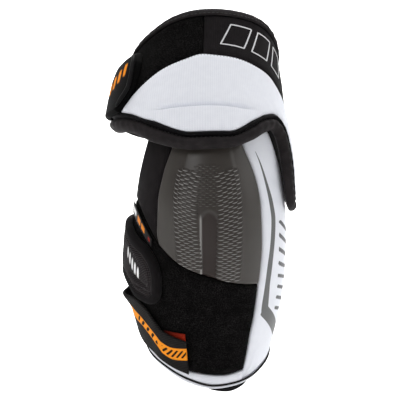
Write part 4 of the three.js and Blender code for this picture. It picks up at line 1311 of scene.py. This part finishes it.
thin_pad = {"pressure": 3, "most": 0.8, "floor": always(guard_floor), "top": guard_outside}
loop_band = (always(GUARD_LEFT), always(LOOP_KNIT_SEAM), band_low, top_seam)
guard_loop = padded_panel("guard_loop_pad", guard, loop_band, columns=90, rows=40, **thin_pad)
dress(guard_loop, pile_cloth, "guard_loop_panel")
raise_pile("guard_loop_pile", guard_loop)
knit_band = (always(LOOP_KNIT_SEAM), always(GUARD_RIGHT), band_low, top_seam)
guard_knit = padded_panel("guard_knit_pad", guard, knit_band, columns=96, rows=44, **thin_pad)
dress(guard_knit, black_knit, "guard_knit_panel")


# Embroidery on the knit panel: a row of slanted bars, outlined in white satin stitch.
# Polyester thread laid across each line, close together, so that the line stands a little proud.
BARS = [(8, 27), (34, 50), (56, 68)]  # angles from and to
BAR = {"low": 0.28, "high": 0.8, "slant": 9.0, "steps": 161}
SATIN = {"pitch": 0.42, "length": 1.5, "width": 0.5, "thickness": 0.5}


def sewing_thread(name, colour):
    """Spun polyester thread: a dry sheen, slightly darker in its twist."""
    twist, shade = 0.6, 0.75
    material, tree, shader = new_finish(name, Roughness=0.6, Specular_IOR_Level=0.35, Sheen_Weight=0.1)
    place = add_node(tree, "ShaderNodeTexCoord").outputs["Object"]
    twists = add_node(tree, "ShaderNodeTexNoise", {"Vector": place, "Scale": 1 / (twist * MM)})
    dark = [shade * channel for channel in linear(colour)[:3]] + [1.0]
    tone = add_node(tree, "ShaderNodeMixRGB", {"Fac": twists, "Color1": dark, "Color2": linear(colour)})
    feed(tree, shader, {"Base Color": tone})
    return material


def bar_outline(start, end):
    """The outline of one slanted bar on the band, closed."""
    corners = np.array([(start, 0), (end, 0), (end, 1), (start, 1), (start, 0)], float)
    steps = np.linspace(0, len(corners) - 1, BAR["steps"])
    phi, share = (np.interp(steps, np.arange(len(corners)), column) for column in corners.T)
    phi = phi + BAR["slant"] * share
    s = mix(band_low(phi), top_seam(phi), mix(BAR["low"], BAR["high"], share))
    return on_arm(guard, phi, s, guard_thickness(s))


outlines = [bar_outline(*bar) for bar in BARS]
white_thread = sewing_thread("white_thread", "#f4f4f6")
laid_beads("bar_embroidery", guard_knit, outlines, SATIN, white_thread, turn=math.pi / 2)


# Guard bindings: padded stretch tape that wraps the guard's raw edges, turned over a foam cord.
# The top rim is one roll. The lower edge is a thin roll and a thick one with a stitched groove between.
RIM_SECTION = [  # share from the seam to the edge, share of the thickness
    (0, 0.04), (0, 0.92), (0.3, 1.03), (0.75, 0.95), (1, 0.65), (1, 0.35), (0.75, 0.05), (0.3, -0.03),
]
EDGE_SECTION = [  # the same for the lower edge
    (0, 0.04), (0, 0.8), (0.1, 1.0), (0.22, 0.95), (0.3, 0.66), (0.38, 0.9), (0.58, 1.05), (0.82, 0.93),
    (0.97, 0.62), (0.95, 0.2), (0.6, -0.03),
]
BINDING_SIDES = 36
RIM_STEPS = 200
EDGE_STEPS = 360
EDGE_TURNED = 0.33
PUCKER = {"pitch": 7.0, "depth": 0.25, "sway": 2.5, "sway_length": 23}


def smooth_loop(points, count):
    """A smooth closed curve through points, as evenly numbered points."""
    points = np.array(points, float)
    at = np.linspace(0, len(points), count, endpoint=False)
    i = at.astype(int)
    t = (at - i)[:, None]
    p0, p1, p2, p3 = (points[(i + k) % len(points)] for k in (-1, 0, 1, 2))
    bend = (2 * p0 - 5 * p1 + 4 * p2 - p3) * t**2 + (3 * p1 - p0 - 3 * p2 + p3) * t**3
    return 0.5 * (2 * p1 + (p2 - p0) * t + bend)


def along_edge(rows, at):
    """Angles and heights of an edge and of its seam, at numbers that count the rows of their table."""
    numbered = [(n, *row) for n, row in enumerate(rows)]
    return (side(at) for side in curves(numbered, 1, 2, 3, 4))


def bound_edge(name, rows, section, steps, turned_share):
    """Tape carried along an edge: rows give the edge and its seam, the section what it looks like cut.
    turned_share is how far from the seam the tape is turned in."""
    edge_phi, edge_s, seam_phi, seam_s = along_edge(rows, np.linspace(0, len(rows) - 1, steps)[:, None])
    across, share = smooth_loop(section, BINDING_SIDES).T
    phi, s = mix(seam_phi, edge_phi, across), mix(seam_s, edge_s, across)
    outside = share > 0.5
    plain = on_arm(guard, phi, s, share * guard_thickness(s))
    run = np.cumsum(np.linalg.norm(np.diff(plain[:, 0], axis=0, prepend=plain[:1, 0]), axis=-1))[:, None]
    sway = PUCKER["sway"] * np.sin(run / PUCKER["sway_length"])
    beat = np.sin(2 * np.pi * run / PUCKER["pitch"] + sway)
    pucker = PUCKER["depth"] * beat * np.sin(np.pi * np.clip(across, 0, 1)) * outside
    rings = on_arm(guard, phi, s, share * guard_thickness(s) + pucker)
    turned = np.broadcast_to((across < turned_share) & outside, rings.shape[:2])
    return tube(name, rings, np.arange(1, BINDING_SIDES + 1), run, turned=turned)


top_rows = [(phi, s, phi, s - RIM_HEIGHT) for phi, s in TOP_EDGE[::-1]]
top_rim = bound_edge("top_rim", top_rows, RIM_SECTION, RIM_STEPS, 0)
lower_rim = bound_edge("lower_rim", GUARD_EDGE, EDGE_SECTION, EDGE_STEPS, EDGE_TURNED)
dress(top_rim, binding_tape, "guard_top_binding")
dress(lower_rim, binding_tape, "guard_edge_binding")


# Guard strap: elastic webbing behind the upper arm. Its left end is a padded tab in woven nylon that
# is thickest near its top, with four orange marks and a black rubber cord sewn along its front edge.
GUARD_STRAP = [  # angle, height of the middle, half-width
    (104, 95, 20),
    (180, 95, 20),
    (262, 95, 20),
]
STRAP_LIFT = 0.9
TAB_LEFT = -98
TAB_HIGH = 114
TAB_SLACK = 0.6
TAB_THICKNESS = [  # height, thickness
    (66, 6), (76, 5.8), (87, 6.6), (100, 7.8), (108, 8), (114, 5.5),
]
TAB_ROLL = {"radius": 2.6, "kept": 0.35}
TAB_LOW = [  # angle, height
    (-98, 75), (-86, 71), (-74, 66), (-62, 63.5),
]
TAB_END = [  # height, angle
    (63, -62), (67, -57.5), (72, -54), (76, -51), (81, -49), (90, -48.5), (102, -49), (109, -51), (114, -53),
]
TAB_CORD = {"radius": 1.7, "low": 66, "high": 111, "inset": 1.2, "sides": 12, "steps": 60}
CORD_END = {"power": 8, "blunt": 0.02}
TAB_MARKS = [  # angles from and to, shares up the tab from and to, colour
    (-79, -74, 0.4, 0.62, "#f5921f"),
    (-71.5, -67.5, 0.46, 0.68, "#f5921f"),
    (-65, -61.5, 0.52, 0.74, "#f5921f"),
    (-59, -56, 0.58, 0.8, "#f5921f"),
]


def guard_seat(phi, s):
    """Depth at which the strap lies on the guard."""
    return guard_thickness(s) + STRAP_LIFT


def tab_floor(s):
    """Depth of the tab's inner face."""
    return guard_thickness(s) + LAYER_GAP


def tab_top(s):
    """Depth of the tab's outer face."""
    return tab_floor(s) + curve(TAB_THICKNESS)(s)


def moulded_rubber():
    """Extruded rubber cord: black, smooth, with a narrow soft highlight along it."""
    grain = 1.5
    material, tree, shader = new_finish("rubber_cord", Specular_IOR_Level=0.15)
    place = add_node(tree, "ShaderNodeTexCoord").outputs["Object"]
    grit = add_node(tree, "ShaderNodeTexNoise", {"Vector": place, "Scale": 1 / (grain * MM), "Detail": 2.0})
    polish = add_node(tree, "ShaderNodeMapRange", {"Value": grit, "To Min": 0.5, "To Max": 0.7})
    feed(tree, shader, {"Base Color": linear("#0d0c0d"), "Roughness": polish})
    return material


guard_pads = ["guard_knit_pad", "guard_loop_pad"]
strap(
    "strap_of_guard", "guard_strap", guard, GUARD_STRAP, guard_seat, webbing, guard_pads,
    columns=140, lines=26,
)

tab_low, tab_end = curve(TAB_LOW), curve(TAB_END)
phi, s = places_in((always(TAB_LEFT), tab_end, tab_low, always(TAB_HIGH)), columns=64, rows=56)
rim = from_rim(on_arm(guard, phi, s, tab_top(s)))
thick = (tab_top(s) - tab_floor(s) - TAB_SLACK) * rolled(rim, **TAB_ROLL)
cover = puffed(on_arm(guard, phi, s, tab_floor(s) + thick), pressure=3, most=0.8)
marks = boxed_marks(phi, (s - tab_low(phi)) / (TAB_HIGH - tab_low(phi)), TAB_MARKS)
tab = closed_wall("strap_tab", on_arm(guard, phi, s, tab_floor(s)), cover, phi, s, rim=rim, **marks)
tab_weave = woven_cover("tab_weave", "#050505", "#121112", TAB_MARKS)
dress(tab, tab_weave, "guard_strap_tab")

height = np.linspace(TAB_CORD["low"], TAB_CORD["high"], TAB_CORD["steps"])
cord_path = on_arm(guard, tab_end(height) - TAB_CORD["inset"], height, tab_top(height))
rounded = np.sqrt(1 + CORD_END["blunt"] - np.linspace(-1, 1, TAB_CORD["steps"]) ** CORD_END["power"])
cord = ring_tube("tab_cord", cord_path, TAB_CORD["radius"] * rounded, TAB_CORD["sides"])
dress(cord, moulded_rubber())


# Stitches: spun polyester lockstitch that closes the rims and the grip, sunk into the cloth, and a short
# overlock across the seam between the black band and the white panel.
STITCH = {"pitch": 3.4, "length": 2.5, "width": 0.6, "thickness": 0.55}
OVERLOCK = {"pitch": 2.6, "length": 1.7, "width": 0.7, "thickness": 0.45}
SEAM_STEPS = 400
RIM_ROW = {"half_angle": 112, "above": 1.6}
OVERLOCK_ROW = {"left": 2, "right": 4, "below": 0.9}
GROOVE_ROW = {"across": 0.3, "sunk": 0.7}
GRIP_ROW = {"middle": -69, "half": 24, "inset": 0.4, "steps": 120}
black_thread = sewing_thread("black_thread", "#232021")

around = np.linspace(-RIM_ROW["half_angle"], RIM_ROW["half_angle"], SEAM_STEPS)
s = top_seam(around) + RIM_ROW["above"]
rim_row = on_arm(guard, around, s, guard_thickness(s))

along = np.linspace(WHITE_TIP + OVERLOCK_ROW["left"], GUARD_RIGHT - OVERLOCK_ROW["right"], SEAM_STEPS)
s = band_seam(along) - OVERLOCK_ROW["below"]
seam_row = on_arm(guard, along, s, guard_thickness(s))

numbers = np.linspace(1, len(GUARD_EDGE) - 2, SEAM_STEPS)
edge_phi, edge_s, seam_phi, seam_s = along_edge(GUARD_EDGE, numbers)
phi, s = mix(seam_phi, edge_phi, GROOVE_ROW["across"]), mix(seam_s, edge_s, GROOVE_ROW["across"])
groove_row = on_arm(guard, phi, s, GROOVE_ROW["sunk"] * guard_thickness(s))

turn = np.linspace(0, 2 * np.pi, GRIP_ROW["steps"])
phi = GRIP_ROW["middle"] + GRIP_ROW["half"] * np.cos(turn)
middle, half = (side(phi) for side in curves(GRIP, 1, 2))
s = middle + (half - GRIP_GROOVE["inset"] - GRIP_ROW["inset"]) * np.sin(turn)
grip_row = on_arm(body, phi, s, GRIP_TOP)

for name, ground, row, stitch, turn in (
    ("top_rim_stitches", top_rim, rim_row, STITCH, 0.0),
    ("band_overlock", guard_white, seam_row, OVERLOCK, math.pi / 2),
    ("lower_rim_stitches", lower_rim, groove_row, STITCH, 0.0),
    ("grip_stitches", grip, grip_row, STITCH, 0.0),
):
    laid_beads(name, ground, [row], stitch, black_thread, turn)


# Studio: a pale floor that curves up into a wall far behind, large soft lights, and a long lens that is
# level with the elbow.
CAMERA = {"distance": 1.4, "across": -0.0081, "up": 0.004, "field": 0.324, "sensor": 36.0}
SWEEP = {"drop": 0.05, "half": 6.0, "front": -5.0, "back": 5.0, "bend": 1.5, "height": 5.0, "steps": 16}
WORLD = {"Color": (1.0, 1.0, 1.0, 1.0), "Strength": 0.36}
LIGHTS = [  # name, place, where it points, size, power in watts
    ("key", (-1.2, -1.6, 1.1), (0, 0, 0), 1.2, 11.0),
    ("side", (1.7, -0.3, 0.6), (0, 0, 0), 1.2, 5.0),
    ("top", (0.2, 0.1, 1.9), (0, 0, 0), 1.4, 13.0),
    ("backdrop", (0, 2.2, 3.2), (0, 5.0, 0.2), 3.0, 420.0),
]
low = cad_box[0].z - SWEEP["drop"]
turn = np.linspace(0, math.pi / 2, SWEEP["steps"])
far = SWEEP["back"] - SWEEP["bend"] + SWEEP["bend"] * np.sin(turn)
rise = low + SWEEP["bend"] * (1 - np.cos(turn))
profile = [(SWEEP["front"], low), *zip(far, rise), (SWEEP["back"], SWEEP["height"])]
sweep_points = [(side * SWEEP["half"], y, z) for y, z in profile for side in (-1, 1)]
sweep_faces = [(2 * n, 2 * n + 1, 2 * n + 3, 2 * n + 2) for n in range(len(profile) - 1)]
floor_mesh = bpy.data.meshes.new("floor")
floor_mesh.from_pydata(sweep_points, [], sweep_faces)
floor_mesh.polygons.foreach_set("use_smooth", [True] * len(sweep_faces))
floor_paint = new_finish("pale_floor", Roughness=0.9, Specular_IOR_Level=0.1, Base_Color=linear("#f6f6f6"))[0]
floor_mesh.materials.append(floor_paint)
floor = in_scene("floor", floor_mesh)

world = bpy.data.worlds.new("studio")
bpy.context.scene.world = world
world.use_nodes = True
feed(world.node_tree, world.node_tree.nodes["Background"], WORLD)
for name, place, target, size, power in LIGHTS:
    lamp = bpy.data.lights.new(name, "AREA")
    lamp.shape = "DISK"
    lamp.size = size
    lamp.energy = power
    light = in_scene(name, lamp)
    light.location = place
    light.rotation_euler = (light.location - Vector(target)).to_track_quat("Z", "Y").to_euler()

camera = in_scene("camera", bpy.data.cameras.new("camera"))
camera.location = (CAMERA["across"], -CAMERA["distance"], CAMERA["up"])
camera.rotation_euler = (math.pi / 2, 0, 0)
camera.data.sensor_width = CAMERA["sensor"]
camera.data.lens = CAMERA["sensor"] * CAMERA["distance"] / CAMERA["field"]
bpy.context.scene.camera = camera
bpy.context.scene.view_settings.view_transform = "Standard"
